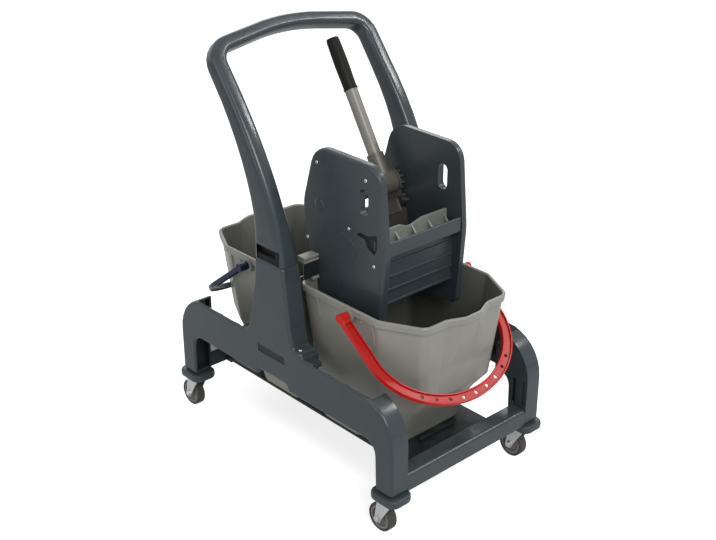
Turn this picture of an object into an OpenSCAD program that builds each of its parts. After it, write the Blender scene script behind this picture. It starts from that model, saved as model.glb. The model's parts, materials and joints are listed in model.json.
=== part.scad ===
// Double mop bucket trolley: two buckets side by side on a wheeled plastic chassis with a push
// handle, and a geared lever wringer that hangs on the rear rim of the front bucket.
// The front is +X, the left side is -Y and the floor is z = 0.

/* [Chassis] */
// Width over the outer faces of the two side frames
frame_w = 422; // [416:1:440]
// Length over the outer faces of the legs
frame_l = 674; // [664:1:700]
// Leg size along the trolley
leg_l = 47; // [42:1:52]
// Leg size across the trolley
leg_w = 42; // [40:1:44]
// Height of the legs' lower ends
leg_foot_z = 97.5; // [96:0.5:104]
// Height of the rail's lower edge
rail_bottom_z = 198; // [185:1:208]
// Height of the rail's upper edge
rail_top_z = 291; // [284:1:294]
// Thickness of the rail
rail_t = 26; // [20:1:30]
// Radius of the shoulders over the legs
shoulder_r = 90; // [70:1:96]
// Length of the thick part over each front leg
front_pad_l = 88; // [78:1:100]
// Length of the thick part over each rear leg
rear_pad_l = 62; // [56:1:80]
// Radius in the corners of the arch between the legs
arch_r = 25; // [15:1:32]
// Rounding of the outer edges of the side frames
frame_edge_r = 7; // [4:0.5:8]
// Wall left outside the hollows of the side frames
frame_wall = 5; // [4:0.5:7]
// Size of each cross bar along the trolley
cross_bar_l = 37; // [32:1:40]
// Height of the cross bars
cross_bar_h = 37; // [30:1:42]
// Wall of the cross bars
cross_bar_wall = 5; // [4:0.5:6]
// Width of the bucket tray
tray_w = 240; // [232:1:262]
// Height of the tray's underside above the lower edges of the cross bars
tray_rise = 5; // [4:0.5:7]
// Thickness of the bucket tray
tray_t = 7; // [6:0.5:9]
// Skin of the tray above its ribs
tray_skin = 4; // [3:0.5:4.5]
// Height of the stops that keep the buckets in place
tray_stop_h = 10; // [6:1:14]

/* [Push handle] */
// Height of the joint between the columns and the push handle
column_top_z = 466; // [450:1:480]
// Length of a column at its top
column_l = 87; // [78:1:94]
// Place of a column's middle at its top
column_x = -14.5; // [-20:0.5:-10]
// How far a column widens towards the rear at its foot
column_flare_rear = 34; // [25:1:45]
// How far a column widens towards the front at its foot
column_flare_front = 33; // [25:1:45]
// Height of the top of the push handle
handle_top_z = 888; // [876:1:910]
// Rearward lean of the push handle in degrees
handle_lean = 37; // [32:1:39]
// Height where the push handle bends rearwards
handle_bend_z = 613; // [605:1:622]
// Length of the bend along the leaning part
handle_bend_l = 194; // [180:1:205]
// Size of the upper handle legs fore and aft
handle_leg_l = 40; // [36:1:44]
// Size of the upper handle legs across the trolley
handle_leg_w = 34; // [30:1:38]
// How far the handle draws in on each side
handle_draw_in = 0; // [0:1:8]
// How far the handle's legs bow outwards above the columns
handle_bow = 9; // [4:0.5:10]
// Size of the top bar fore and aft
handle_bar_d = 38; // [32:1:42]
// Height of the top bar
handle_bar_h = 30; // [26:1:34]
// Rise of the top bar's arch
handle_rise = 24; // [15:1:36]
// Bend radius of the handle's upper corners
handle_corner_r = 42; // [38:1:50]
// Depth of the handle's spigots in the columns
spigot_h = 36; // [25:1:40]
// Depth of the latch recess
latch_depth = 9; // [7:0.5:10]

/* [Castors] */
// Diameter of the castor wheels
wheel_d = 60; // [56:1:64]
// Width of the castor wheels
wheel_w = 20; // [18:1:22]
// How far a wheel trails behind its swivel axis
castor_trail = 21; // [16:1:24]
// Thickness of the tyre
tyre_t = 6; // [5:0.5:8]
// Diameter of the castor axles
axle_d = 8; // [7:0.5:10]
// Diameter of the castor stems
stem_d = 11; // [10:0.5:13]
// Sheet thickness of the castor forks
fork_t = 3; // [2.5:0.5:4]
// Height of the corner bumpers
bumper_h = 17.5; // [14:0.5:18.5]
// How far the bumpers stand out beyond the legs' ends
bumper_out_l = 15; // [10:1:16]
// How far the bumpers stand out beyond the legs' sides
bumper_out_w = 11; // [8:1:12]

/* [Buckets] */
// Height of a bucket
bucket_h = 304.8; // [290:0.2:320]
// Length of a bucket over its rim, without the spout
bucket_l = 316; // [306:1:318]
// Width of a bucket over its rim
bucket_w = 310; // [302:1:312]
// Wall of a bucket
bucket_wall = 3.2; // [2.6:0.1:4]
// Height of the rim band
rim_h = 15; // [12:1:18]
// How far the rim band stands proud of the wall
rim_out = 4; // [3:0.5:5]
// Length of the cut-off front corners
chamfer_l = 83; // [70:1:95]
// Width of the cut-off front corners
chamfer_w = 42; // [34:1:50]
// How far the pouring spout stands out
spout_out = 17; // [12:1:20]
// Width of the spout where it leaves the wall
spout_w = 112; // [96:2:124]
// Gap between the rims of the two buckets
bucket_gap = 8; // [7:1:12]
// How far the rear wall leans in at the floor
rear_in = 26; // [18:1:32]
// How far each side wall leans in at the floor
side_in = 27; // [20:1:32]
// How far the front wall leans in above its knee
front_in = 16; // [10:1:22]
// How far the front wall draws in below its knee
tuck_in = 70; // [55:1:80]
// Height of the knee in the front wall
knee_h = 130; // [110:1:150]

/* [Bails] */
// Angle of the resting bails below level
bail_rest = 37; // [34:1:38]
// Reach of a bail from its pivot to the middle of its strap
bail_reach = 241; // [239:1:248]
// Straight length of a bail's arms
bail_arm = 108; // [102:1:112]
// Width of the bail strap
bail_w = 21; // [19:0.5:22]
// Height of the bail strap's rims
bail_h = 10; // [9:0.5:11]
// Diameter of the bail pivots
pivot_d = 10; // [8:0.5:12]
// Distance of the pivots from the bucket's rear rim
pivot_x = 151; // [145:1:156]
// Depth of the pivots below the rim
pivot_drop = 18; // [16:1:22]

/* [Wringer] */
// Width over the outer faces of the cheeks
wringer_w = 224; // [210:1:236]
// Thickness of a cheek
cheek_t = 16; // [14:1:18]
// Height of the cheeks above the rim
cheek_top = 274; // [265:1:288]
// Depth of the cheeks below the rim
cheek_drop = 63; // [50:1:75]
// Distance of the cheeks' front edge from the rear rim
cheek_front = 205; // [201:1:212]
// How far the cheeks bulge out behind the rear rim
cheek_bulge = 31; // [20:1:36]
// Rounding of the cheeks' outer edges
cheek_edge_r = 6; // [4:0.5:7]
// Height of the lever shaft above the rim
shaft_z = 158; // [150:1:170]
// Distance of the lever shaft from the rear rim
shaft_x = 22; // [18:1:26]
// Diameter of the shaft's drum
drum_d = 38; // [32:1:40]
// Diameter of the shaft's journals
journal_d = 20; // [18:1:22]
// Tooth size of the gears: pitch diameter over tooth count
gear_module = 4; // [3.8:0.1:4.2]
// Width of the pinions
pinion_w = 12; // [8:1:13]
// Play between the gear teeth, along the pitch circle
backlash = 0.5; // [0.3:0.1:0.8]
// Thickness of the press jaw's plate
jaw_t = 8; // [6:0.5:10]
// Depth of the press jaw's lower edge below the rim
jaw_drop = 36; // [26:1:40]
// Diameter of the jaw's pins
jaw_pin_d = 12; // [10:0.5:14]
// Distance of the comb from the rear rim
comb_x = 156; // [150:1:160]
// Thickness of the comb
comb_t = 6; // [5:0.5:8]
// Height of the comb's upper edge above the rim
comb_top = 135; // [128:1:140]
// Distance of the front panel from the rear rim
panel_x = 172; // [168:1:175]
// Thickness of the front panel
panel_t = 6; // [4:0.5:7]
// Height of the crossbar's upper edge above the rim
crossbar_top = 128; // [120:1:134]
// Height of the crossbar
crossbar_h = 29; // [24:1:34]
// Height of the panel's lower edge in relation to the rim
panel_bottom = -10; // [-20:1:0]
// Thickness of the drain plate
sieve_t = 5; // [4:0.5:7]

/* [Lever] */
// Length of the lever from the shaft to its tip
lever_l = 309; // [280:1:320]
// Rearward lean of the resting lever in degrees
lever_lean = 31; // [24:1:34]
// Distance of the lever from the inner side of the right pinion
lever_inset = 21; // [20:1:33]
// Diameter of the lever tube
lever_d = 27; // [24:1:30]
// Diameter of the lever grip
grip_d = 33; // [30:1:36]
// Length of the lever grip
grip_l = 110; // [90:1:125]

/* [Hidden] */
$fn = 48;

// Clearances
seat_gap = 0.2;
fit = 0.05;
run = 0.3;
side_play = 0.6;

// Chassis, derived
frame_in = frame_w / 2 - leg_w;
leg_x = (frame_l - leg_l) / 2;
leg_y = (frame_w - leg_w) / 2;
cross_bar_z = leg_foot_z + 0.5;
cross_bar_x = frame_l / 2 - cross_bar_l;
tray_low = cross_bar_z + tray_rise;
tray_z = tray_low + tray_t;
ledge_l = 18;
ledge_t = tray_rise;
column_rear = column_x - column_l / 2;
column_front = column_x + column_l / 2;
foot_step_l = 17;
foot_step_h = 10;
corner_min_r = frame_edge_r + 1;
notch_half = 48;
notch_h = 14;
label_l = 84;
label_h = 16;
label_depth = 1.2;
rib_t = 5;
socket_wall = 13;
stem_bore_h = 45;

// Castors, derived
bumper_z = leg_foot_z - bumper_h;
race_t = 1.8;
crown_top = bumper_z - race_t - run;
crown_t = 7;
fork_gap = wheel_w + 3;
axle_z = wheel_d / 2;
core_r = wheel_d / 2 - tyre_t;
pin_d = stem_d - 1;
pin_head_t = 3;

// Buckets, derived
rim_x = bucket_gap / 2;
floor_z = tray_z + seat_gap;
rim_z = floor_z + bucket_h;
bucket_floor_t = 4;
ear_out = 3;
ear_r = 15;
bail_y = bucket_w / 2 + ear_out + side_play + bail_w / 2;
stud_l = 12;
pivot_z = bucket_h - pivot_drop;

// Wringer, derived
cheek_in = wringer_w / 2 - cheek_t;
pinion_teeth = 10;
sector_teeth = 24;
pressure = 25;
addendum = 0.8 * gear_module;
dedendum = gear_module;
jaw_pivot_z = shaft_z - gear_module * (pinion_teeth + sector_teeth) / 2;
pinion_y = cheek_in - 1 - pinion_w / 2;
sector_w = pinion_w - 1;
arm_in = pinion_y - pinion_w / 2;
jaw_hub_r = jaw_pin_d / 2 + 9;
bush_wall = 5;
bush_l = 11;
sieve_z = -cheek_drop + 17;
sieve_tilt = 16;
bar_low = crossbar_top - crossbar_h;
bar_wall = 6;
shelf_z = bar_low + bar_wall;
socket_w = 32;
lever_y = arm_in - lever_inset;
socket_r = 24;
flange_r = 25;
screw_r = 5.5;
screw_shank_r = 2.5;
screw_head_t = 2.5;
cheek_screw_r = 3.6;
cheek_shank_r = 1.8;
cheek_screw_t = 1.6;

frame_grey = [0.29, 0.31, 0.33];
bucket_grey = [0.62, 0.62, 0.58];
pale_grey = [0.74, 0.74, 0.70];
black = [0.08, 0.08, 0.09];
zinc = [0.72, 0.73, 0.74];

CORNERS = [["front_left", 1, -1], ["front_right", 1, 1], ["rear_left", -1, -1], ["rear_right", -1, 1]];

// Rounded outlines and skins between rings of points

function unit(v) = v / norm(v);
function flat(c) = [c[0], c[1]];
function turn(a, b) = a[0] * b[1] - a[1] * b[0];

// Points of one rounded corner, moved inwards by d
function corner_arc(p0, c, p2, d, n) =
    let (p1 = flat(c), u = unit(flat(p0) - p1), v = unit(flat(p2) - p1))
    let (half = acos(max(-1, min(1, u * v))) / 2, s = turn(-u, v) > 0 ? 1 : -1)
    let (centre = p1 + unit(u + v) * c[2] / sin(half))
    let (mid = atan2(p1[1] - centre[1], p1[0] - centre[0]), sweep = 90 - half)
    [for (k = [0 : n])
        let (a = mid + s * sweep * (2 * k / n - 1))
        centre + (c[2] - s * d) * [cos(a), sin(a)]];

// Closed ring of points along an outline of [x, y, radius] corners, moved inwards by d
function ring(corners, d = 0) =
    let (m = len(corners))
    [for (i = [0 : m - 1])
        let (n = corners[i][2] < 15 ? 3 : corners[i][2] < 60 ? 5 : 8)
        each corner_arc(corners[(i + m - 1) % m], corners[i], corners[(i + 1) % m], d, n)];

function raise(points, z) = [for (p = points) [p[0], p[1], z]];

// Triangles over a flat ring of points, cut off one corner at a time; s is 1 for an anticlockwise ring
function in_corner(p, a, b, c, s) =
    s * turn(b - a, p - a) >= 0 && s * turn(c - b, p - b) >= 0 && s * turn(a - c, p - c) >= 0;

function free_corner(pts, left, i, s) =
    let (m = len(left), a = left[(i + m - 1) % m], b = left[i], c = left[(i + 1) % m])
    s * turn(pts[b] - pts[a], pts[c] - pts[b]) > 0 && 0 == len([for (k = left)
        if (k != a && k != b && k != c && in_corner(pts[k], pts[a], pts[b], pts[c], s)) k]);

function first_free(pts, left, s, i = 0) =
    i >= len(left) - 1 || free_corner(pts, left, i, s) ? i : first_free(pts, left, s, i + 1);

function cap(pts, left, s, done = []) =
    len(left) < 3 ? done :
    let (m = len(left), i = first_free(pts, left, s))
    cap(pts, [for (k = [0 : m - 1]) if (k != i) left[k]], s,
        concat(done, [[left[(i + m - 1) % m], left[i], left[(i + 1) % m]]]));

function total(list, i = 0) = i >= len(list) ? 0 : list[i] + total(list, i + 1);

function ring_cap(ring3) =
    let (pts = [for (p = ring3) flat(p)], n = len(pts))
    let (area = total([for (j = [0 : n - 1]) turn(pts[j], pts[(j + 1) % n])]))
    cap(pts, [for (j = [0 : n - 1]) j], sign(area));

// Closed skin over a stack of rings that all have the same count of points, with level ends
module skin(rings) {
    n = len(rings[0]);
    m = len(rings);
    sides = [for (i = [0 : m - 2], j = [0 : n - 1])
        let (a = i * n + j, b = i * n + (j + 1) % n)
        each [[a, a + n, b + n], [a, b + n, b]]];
    last = [for (f = ring_cap(rings[m - 1])) [for (j = reversed(f)) (m - 1) * n + j]];
    polyhedron([for (r = rings) each r], concat(sides, ring_cap(rings[0]), last));
}

// Plate of an outline with a rounded edge round its upper face
module soft_plate(corners, t, r, steps = 3) {
    edge = [for (k = [0 : steps]) let (a = 90 * (1 - k / steps)) [r * (1 - sin(a)), t - r * (1 - cos(a))]];
    skin(concat([raise(ring(corners), 0)], [for (e = edge) raise(ring(corners, e[0]), e[1])]));
}

module both_sides() {
    children();
    mirror([0, 1, 0]) children();
}

// Lays a flat outline upright: its x runs along the trolley, its y upwards, its depth to the left
module upright(y = 0) {
    translate([0, -y, 0]) rotate([90, 0, 0]) children();
}

module box(low, high) {
    translate(low) cube(high - low);
}

// Cylinder along Y between two places
module rod_y(x, z, r, y0, y1) {
    translate([x, y0, z]) rotate([-90, 0, 0]) cylinder(r = r, h = y1 - y0);
}

// Side frames: legs, rail, shoulders and column in one moulding

function reversed(list) = [for (i = [len(list) - 1 : -1 : 0]) list[i]];

function leg_foot(s) = [
    [s * frame_l / 2, leg_foot_z, corner_min_r],
    [s * (frame_l / 2 - leg_l), leg_foot_z, corner_min_r],
    [s * (frame_l / 2 - leg_l - 3), rail_bottom_z, arch_r]
];

frame_outline = concat(
    reversed(leg_foot(1)),
    [
        [frame_l / 2, rail_top_z, shoulder_r],
        [column_front + column_flare_front + foot_step_l, rail_top_z, 4],
        [column_front + column_flare_front + foot_step_l - 3, rail_top_z + foot_step_h, corner_min_r],
        [column_front + column_flare_front * 0.75, rail_top_z + foot_step_h, 6],
        [column_front + column_flare_front * 0.45, rail_top_z + 50, 60],
        [column_front, column_top_z, corner_min_r],
        [column_rear, column_top_z, corner_min_r],
        [column_rear - column_flare_rear * 0.1, rail_top_z + 125, 150],
        [column_rear - column_flare_rear, rail_top_z, 20],
        [-frame_l / 2, rail_top_z, shoulder_r]
    ],
    leg_foot(-1),
    [
        [column_x - notch_half - 4, rail_bottom_z, corner_min_r],
        [column_x - notch_half + 4, rail_bottom_z + notch_h, 4],
        [column_x + notch_half - 4, rail_bottom_z + notch_h, 4],
        [column_x + notch_half + 4, rail_bottom_z, corner_min_r]
    ]
);

// Hollow on the inner side between two places, down to the outer wall
module rail_hollows(x0, x1) {
    inner = -(frame_w / 2 - rail_t);
    span = (x1 - x0 - 2 * rib_t) / 3;
    for (i = [0 : 2]) {
        x = x0 + i * (span + rib_t);
        box([x, -frame_w / 2 + frame_wall, rail_bottom_z + notch_h + rib_t],
            [x + span, inner + 1, rail_top_z - 2 * rib_t]);
    }
}

// Hollow inside a shoulder, open towards the middle of the trolley
module pad_hollow(s, x, l) {
    upright(frame_in + frame_wall) linear_extrude(leg_w - rail_t - frame_wall) scale([s, 1]) intersection() {
        translate([x, rail_bottom_z + rib_t]) square([l, shoulder_r]);
        translate([frame_l / 2 - shoulder_r, rail_top_z - shoulder_r]) circle(r = shoulder_r - frame_wall);
    }
}

module side_frame() {
    relief_y = -(frame_w / 2 - rail_t);
    inner_y = -frame_in + 1;
    rear_relief = column_rear - column_flare_rear - 4;
    front_relief = column_front + column_flare_front + foot_step_l + 4;
    front_pad = frame_l / 2 - front_pad_l;
    rear_pad = rear_pad_l - frame_l / 2;
    difference() {
        upright(frame_in) soft_plate(frame_outline, leg_w, frame_edge_r);
        // The rail is thinner than the legs and the column
        box([front_relief, relief_y, rail_bottom_z - 1], [front_pad, inner_y, rail_top_z + 2]);
        box([rear_pad, relief_y, rail_bottom_z - 1], [rear_relief, inner_y, rail_top_z + 2]);
        rail_hollows(front_relief, front_pad - rib_t);
        rail_hollows(rear_pad + rib_t, rear_relief);
        pad_hollow(1, front_pad - 1, 0.5 * front_pad_l);
        pad_hollow(-1, -rear_pad - 1, 0.5 * rear_pad_l);
        for (s = [-1, 1]) {
            // Flutes down the inner side of each leg
            for (k = [-1, 1])
                box([s * leg_x + k * leg_l / 4 - 5, -frame_in - 4, cross_bar_z + cross_bar_h + 6],
                    [s * leg_x + k * leg_l / 4 + 5, inner_y, rail_bottom_z]);
            translate([s * leg_x, -leg_y, leg_foot_z - 1]) cylinder(d = stem_d + 2 * fit, h = stem_bore_h);
        }
        // Hollow column with a cross rib, and the socket for the push handle
        box([column_rear + 8, -frame_w / 2 + frame_wall, rail_top_z + 12],
            [column_front - 8, inner_y, rail_top_z + 60]);
        box([column_rear + 8, -frame_w / 2 + frame_wall, rail_top_z + 65],
            [column_front - 8, inner_y, column_top_z - spigot_h - 14]);
        spigot_cut(fit * 4);
        // Bare shallow panel on the rail
        box([column_x - label_l / 2, -frame_w / 2 - 1, rail_top_z - 18 - label_h],
            [column_x + label_l / 2, -frame_w / 2 + label_depth, rail_top_z - 18]);
    }
}

module spigot_cut(play) {
    wall = socket_wall - play;
    box([column_rear + wall, -frame_w / 2 + wall, column_top_z - spigot_h - play],
        [column_front - wall, -frame_in - wall, column_top_z + 1]);
}

module side_frame_left() {
    color(frame_grey) side_frame();
}

module side_frame_right() {
    color(frame_grey) mirror([0, 1, 0]) side_frame();
}

// Push handle: one swept moulding, from column to column

lean_up = [-sin(handle_lean), 0, cos(handle_lean)];
bend_point = [column_x, 0, handle_bend_z];
handle_y = frame_w / 2 - handle_draw_in - handle_leg_w / 2;
bar_s = (handle_top_z - handle_bar_h * cos(handle_lean) / 2 - handle_bar_d * sin(handle_lean) / 2
    - handle_bend_z) / cos(handle_lean);
apex_s = bar_s - handle_rise;
peak_s = bar_s + 8;

// Sweep stations: centre, fore-and-aft normal, path direction, size fore and aft, size across, squareness
function on_lean(y, s) = bend_point + [0, y, 0] + s * lean_up;
function mix(a, b, t) = a + (b - a) * t;

function bend_station(t) =
    let (low = [column_x, -leg_y, column_top_z + seat_gap], high = on_lean(-handle_y, handle_bend_l))
    let (knee = [column_x, -leg_y - handle_bow, handle_bend_z])
    let (p = mix(mix(low, knee, t), mix(knee, high, t), t))
    let (d = unit(mix(knee - low, high - knee, t)), flat_d = unit([d[0], 0, d[2]]))
    let (k = (t + sin(90 * t)) / 2)
    [p, [flat_d[2], 0, -flat_d[0]], t == 0 ? [0, 0, 1] : d,
        mix(column_l, handle_leg_l, k), mix(leg_w, handle_leg_w, k), mix(7, 3.6, min(1, 3 * t))];

bar_path = concat(
    corner_arc([-handle_y, 0], [-handle_y, apex_s, handle_corner_r], [0, peak_s], 0, 6),
    corner_arc([-handle_y, apex_s], [0, peak_s, 480], [handle_y, apex_s], 0, 8),
    corner_arc([0, peak_s], [handle_y, apex_s, handle_corner_r], [handle_y, 0], 0, 6)
);

function bar_station(i) =
    let (p = bar_path[i], before = bar_path[max(0, i - 1)], after = bar_path[min(len(bar_path) - 1, i + 1)])
    let (d = unit(after - before), k = 1 - abs(p[0]) / handle_y)
    let (blend = min(1, 4 * k))
    [on_lean(p[0], p[1]), [cos(handle_lean), 0, sin(handle_lean)],
        [-sin(handle_lean) * d[1], d[0], cos(handle_lean) * d[1]],
        mix(handle_leg_l, handle_bar_d, blend), mix(handle_leg_w, handle_bar_h, blend), 3.2];

// Superellipse section, squarer for a higher power
function power(v, e) = sign(v) * pow(abs(v), 2 / e);
function section(st, n = 20) =
    let (side = cross(st[2], st[1]))
    [for (k = [0 : n - 1]) let (a = 360 * (k + 0.5) / n)
        st[0] + st[1] * power(cos(a), st[5]) * st[3] / 2 + side * power(sin(a), st[5]) * st[4] / 2];

left_leg_rings = [for (k = [0 : 9]) section(bend_station(k / 9))];
bar_rings = [for (i = [0 : len(bar_path) - 1]) section(bar_station(i))];
right_leg_rings = [for (k = [9 : -1 : 0])
    let (st = bend_station(k / 9))
    let (p = [st[0][0], -st[0][1], st[0][2]], d = [-st[2][0], st[2][1], -st[2][2]])
    section([p, st[1], k == 0 ? [0, 0, -1] : d, st[3], st[4], st[5]])];

latch_l = 66;
latch_h = 29;

module latch_outline(play) {
    low = play > 0 ? -1 : 0;
    translate([column_x - latch_l / 2 - play, column_top_z + 1 + low])
        square([latch_l + 2 * play, latch_h + play - low]);
}

module push_handle() {
    color(frame_grey) difference() {
        union() {
            skin(concat(left_leg_rings, bar_rings, right_leg_rings));
            both_sides()
                box([column_rear + socket_wall, -frame_w / 2 + socket_wall, column_top_z - spigot_h],
                    [column_front - socket_wall, -frame_in - socket_wall, column_top_z + 6]);
        }
        both_sides() upright(frame_w / 2 - latch_depth) linear_extrude(latch_depth + 5) latch_outline(1.5);
    }
}

// Snap tongues that hold the handle on the columns
module handle_latches() {
    color(black) both_sides() upright(frame_w / 2 - latch_depth) linear_extrude(latch_depth - 2)
        difference() {
            latch_outline(0);
            translate([column_x - latch_l / 2 - 1, column_top_z + 12]) square([latch_l - 12, latch_h]);
        }
}

module column_screws() {
    color(zinc) both_sides()
        translate([column_front + column_flare_front + 3, -leg_y - 9, rail_top_z + foot_step_h])
            cylinder(r = 4, h = 3);
}

// Cross bars: open channels with a ledge that carries the tray's end

module cross_bar() {
    rotate([90, 0, 0]) translate([0, 0, -frame_in]) linear_extrude(2 * frame_in) difference() {
        translate([cross_bar_x, cross_bar_z]) square([cross_bar_l, cross_bar_h]);
        translate([cross_bar_x + cross_bar_wall, cross_bar_z - 1])
            square([cross_bar_l - 2 * cross_bar_wall, cross_bar_h - cross_bar_wall + 1]);
        // Rounded upper front edge
        translate([frame_l / 2 - 8, cross_bar_z + cross_bar_h - 8]) difference() {
            square([9, 9]);
            circle(r = 8);
        }
    }
    box([cross_bar_x - ledge_l, -tray_w / 2, cross_bar_z],
        [cross_bar_x + cross_bar_wall, tray_w / 2, tray_low]);
}

module front_cross_bar() {
    color(frame_grey) difference() {
        cross_bar();
        tray_bolt_places() cylinder(r = screw_shank_r + fit, h = 40, center = true);
    }
}

module rear_cross_bar() {
    color(frame_grey) difference() {
        mirror([1, 0, 0]) cross_bar();
        tray_bolt_places() cylinder(r = screw_shank_r + fit, h = 40, center = true);
    }
}

module tray_bolt_places() {
    for (sx = [-1, 1], sy = [-1, 1])
        translate([sx * (cross_bar_x - ledge_l / 2), sy * (tray_w / 2 - 18), tray_z]) children();
}

// Tray: ribbed underneath, with low stops between and beyond the buckets' floors
module bucket_tray() {
    half = cross_bar_x - seat_gap;
    cell_l = (2 * half - 2 * ledge_l - 8) / 6 - rib_t;
    cell_w = (tray_w - 4 * rib_t) / 3;
    color(frame_grey) difference() {
        union() {
            box([-half, -tray_w / 2, tray_low], [half, tray_w / 2, tray_z]);
            stop_half = rear_in + rim_x - 6;
            box([-stop_half, -tray_w / 4, tray_z - 1], [stop_half, tray_w / 4, tray_z + tray_stop_h]);
            for (s = [-1, 1])
                translate([s * (rim_x + bucket_l - front_in - tuck_in + 14), 0, 0])
                    box([-4, -tray_w / 5, tray_z - 1], [4, tray_w / 5, tray_z + tray_stop_h]);
        }
        for (i = [-3 : 2], j = [-1 : 1])
            translate([(i + 0.5) * (cell_l + rib_t), j * (cell_w + rib_t), tray_low - 1])
                box([-cell_l / 2, -cell_w / 2, 0], [cell_l / 2, cell_w / 2, tray_t - tray_skin + 1]);
        tray_bolt_places() cylinder(r = screw_shank_r + fit, h = 40, center = true);
    }
}

module tray_bolts() {
    color(zinc) tray_bolt_places() {
        translate([0, 0, -tray_t - ledge_t]) cylinder(r = screw_shank_r, h = tray_t + ledge_t + 1);
        cylinder(r = screw_r, h = screw_head_t);
    }
}

// Castors, each drawn about its swivel axis with the wheel trailing to the rear

module at_corner(c) {
    translate([c[1] * leg_x, c[2] * leg_y, 0]) children();
}

module corner_bumper() {
    a = leg_l / 2 + bumper_out_l;
    b = leg_w / 2 + bumper_out_w;
    outline = [[-a, -b, 20], [a, -b, 20], [a, b, 20], [-a, b, 20]];
    r = 5;
    edge = [for (k = [0 : 2]) let (t = 45 * k) [r * (1 - sin(t)), r * (1 - cos(t))]];
    color(frame_grey) difference() {
        translate([0, 0, bumper_z]) skin(concat(
            [for (e = edge) raise(ring(outline, e[0]), e[1])],
            [for (e = reversed(edge)) raise(ring(outline, e[0]), bumper_h - e[1])]));
        cylinder(d = stem_d + 2 * fit, h = 200);
    }
}

module castor_stem() {
    pin_low = crown_top - crown_t - run;
    color(zinc) {
        translate([0, 0, bumper_z - race_t]) cylinder(r = 16, h = race_t);
        translate([0, 0, bumper_z - 0.1]) cylinder(d = stem_d, h = leg_foot_z + stem_bore_h - 6 - bumper_z);
        translate([0, 0, pin_low - 1]) cylinder(d = pin_d, h = crown_t + race_t + 2 * run);
        translate([0, 0, pin_low - pin_head_t]) cylinder(r = pin_d / 2 + 3, h = pin_head_t);
    }
}

module castor_fork() {
    outer = fork_gap / 2 + fork_t;
    color(zinc) difference() {
        union() {
            translate([0, 0, crown_top - crown_t]) {
                cylinder(r = 17, h = crown_t);
                box([-castor_trail - 2, -outer, 0], [0, outer, crown_t]);
            }
            for (s = [-1, 1])
                translate([0, s * (fork_gap + fork_t) / 2 + fork_t / 2, 0]) rotate([90, 0, 0])
                    linear_extrude(fork_t) {
                        polygon([[-castor_trail - 9, axle_z], [-castor_trail + 9, axle_z],
                            [12, crown_top - crown_t], [12, crown_top],
                            [-castor_trail - 2, crown_top], [-castor_trail - 2, crown_top - crown_t]]);
                        translate([-castor_trail, axle_z]) circle(r = 9);
                    }
        }
        cylinder(d = pin_d + 2 * fit, h = 200);
        rod_y(-castor_trail, axle_z, axle_d / 2 + fit, -outer - 1, outer + 1);
    }
}

module castor_axle() {
    outer = fork_gap / 2 + fork_t;
    color(zinc) {
        rod_y(-castor_trail, axle_z, axle_d / 2, -outer - 5, outer + 1);
        rod_y(-castor_trail, axle_z, axle_d / 2 + 2.5, outer, outer + 3);
        translate([-castor_trail, -outer, axle_z]) rotate([90, 0, 0])
            cylinder(r = axle_d / 2 + 3.2, h = 4, $fn = 6);
    }
}

// Turns a profile of [radius, width] about the wheel's axle
module about_axle() {
    translate([-castor_trail, 0, axle_z]) rotate([90, 0, 0]) rotate_extrude($fn = 96) children();
}

module wheel_core() {
    hub_r = axle_d / 2 + 5;
    rim_t = 4;
    hub_half = fork_gap / 2 - run;
    color([0.55, 0.55, 0.53]) about_axle() {
        translate([axle_d / 2 + fit, -hub_half]) square([hub_r - axle_d / 2 - fit, 2 * hub_half]);
        translate([hub_r - 1, -3]) square([core_r - hub_r, 6]);
        translate([hub_r + (core_r - rim_t - hub_r) * 0.45, -5]) square([2.5, 10]);
        translate([core_r - rim_t, -wheel_w / 2 + 1]) square([rim_t, wheel_w - 2]);
    }
}

module tyre() {
    shoulder = 3;
    inner = core_r + fit;
    color([0.2, 0.2, 0.2]) about_axle() {
        translate([inner, -wheel_w / 2]) square([tyre_t - fit - shoulder, wheel_w]);
        translate([inner, -wheel_w / 2 + shoulder]) square([tyre_t - fit, wheel_w - 2 * shoulder]);
        for (s = [-1, 1])
            translate([wheel_d / 2 - shoulder, s * (wheel_w / 2 - shoulder)]) circle(r = shoulder);
    }
}

// Buckets: lofted shells with a rim band, cut-off front corners and a pouring spout

function lean_in(z) = 1 - z / bucket_h;
function front_wall(z) = bucket_l - 2 * rim_out
    - front_in * min(1, (bucket_h - z) / (bucket_h - knee_h))
    - tuck_in * sin(90 * max(0, 1 - z / knee_h));
function spout(z) = max(0.3, spout_out * (z - 0.62 * bucket_h) / (0.38 * bucket_h));

function bucket_corners(z) =
    let (back = rim_out + rear_in * lean_in(z), front = rim_out + front_wall(z))
    let (half = bucket_w / 2 - rim_out - side_in * lean_in(z))
    [
        [back, -half, 20], [front - chamfer_l, -half, 26], [front, chamfer_w - half, 24],
        [front, -spout_w / 2, 24], [front + spout(z), -spout_w / 2 + 36, 24],
        [front + spout(z), spout_w / 2 - 36, 24], [front, spout_w / 2, 24],
        [front, half - chamfer_w, 24], [front - chamfer_l, half, 26], [back, half, 20]
    ];

function bucket_ring(z, d) = raise(ring(bucket_corners(z), d), z);

foot_r = 8;
shell_steps = [30, 60, 95, knee_h, 190, 240];

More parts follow.
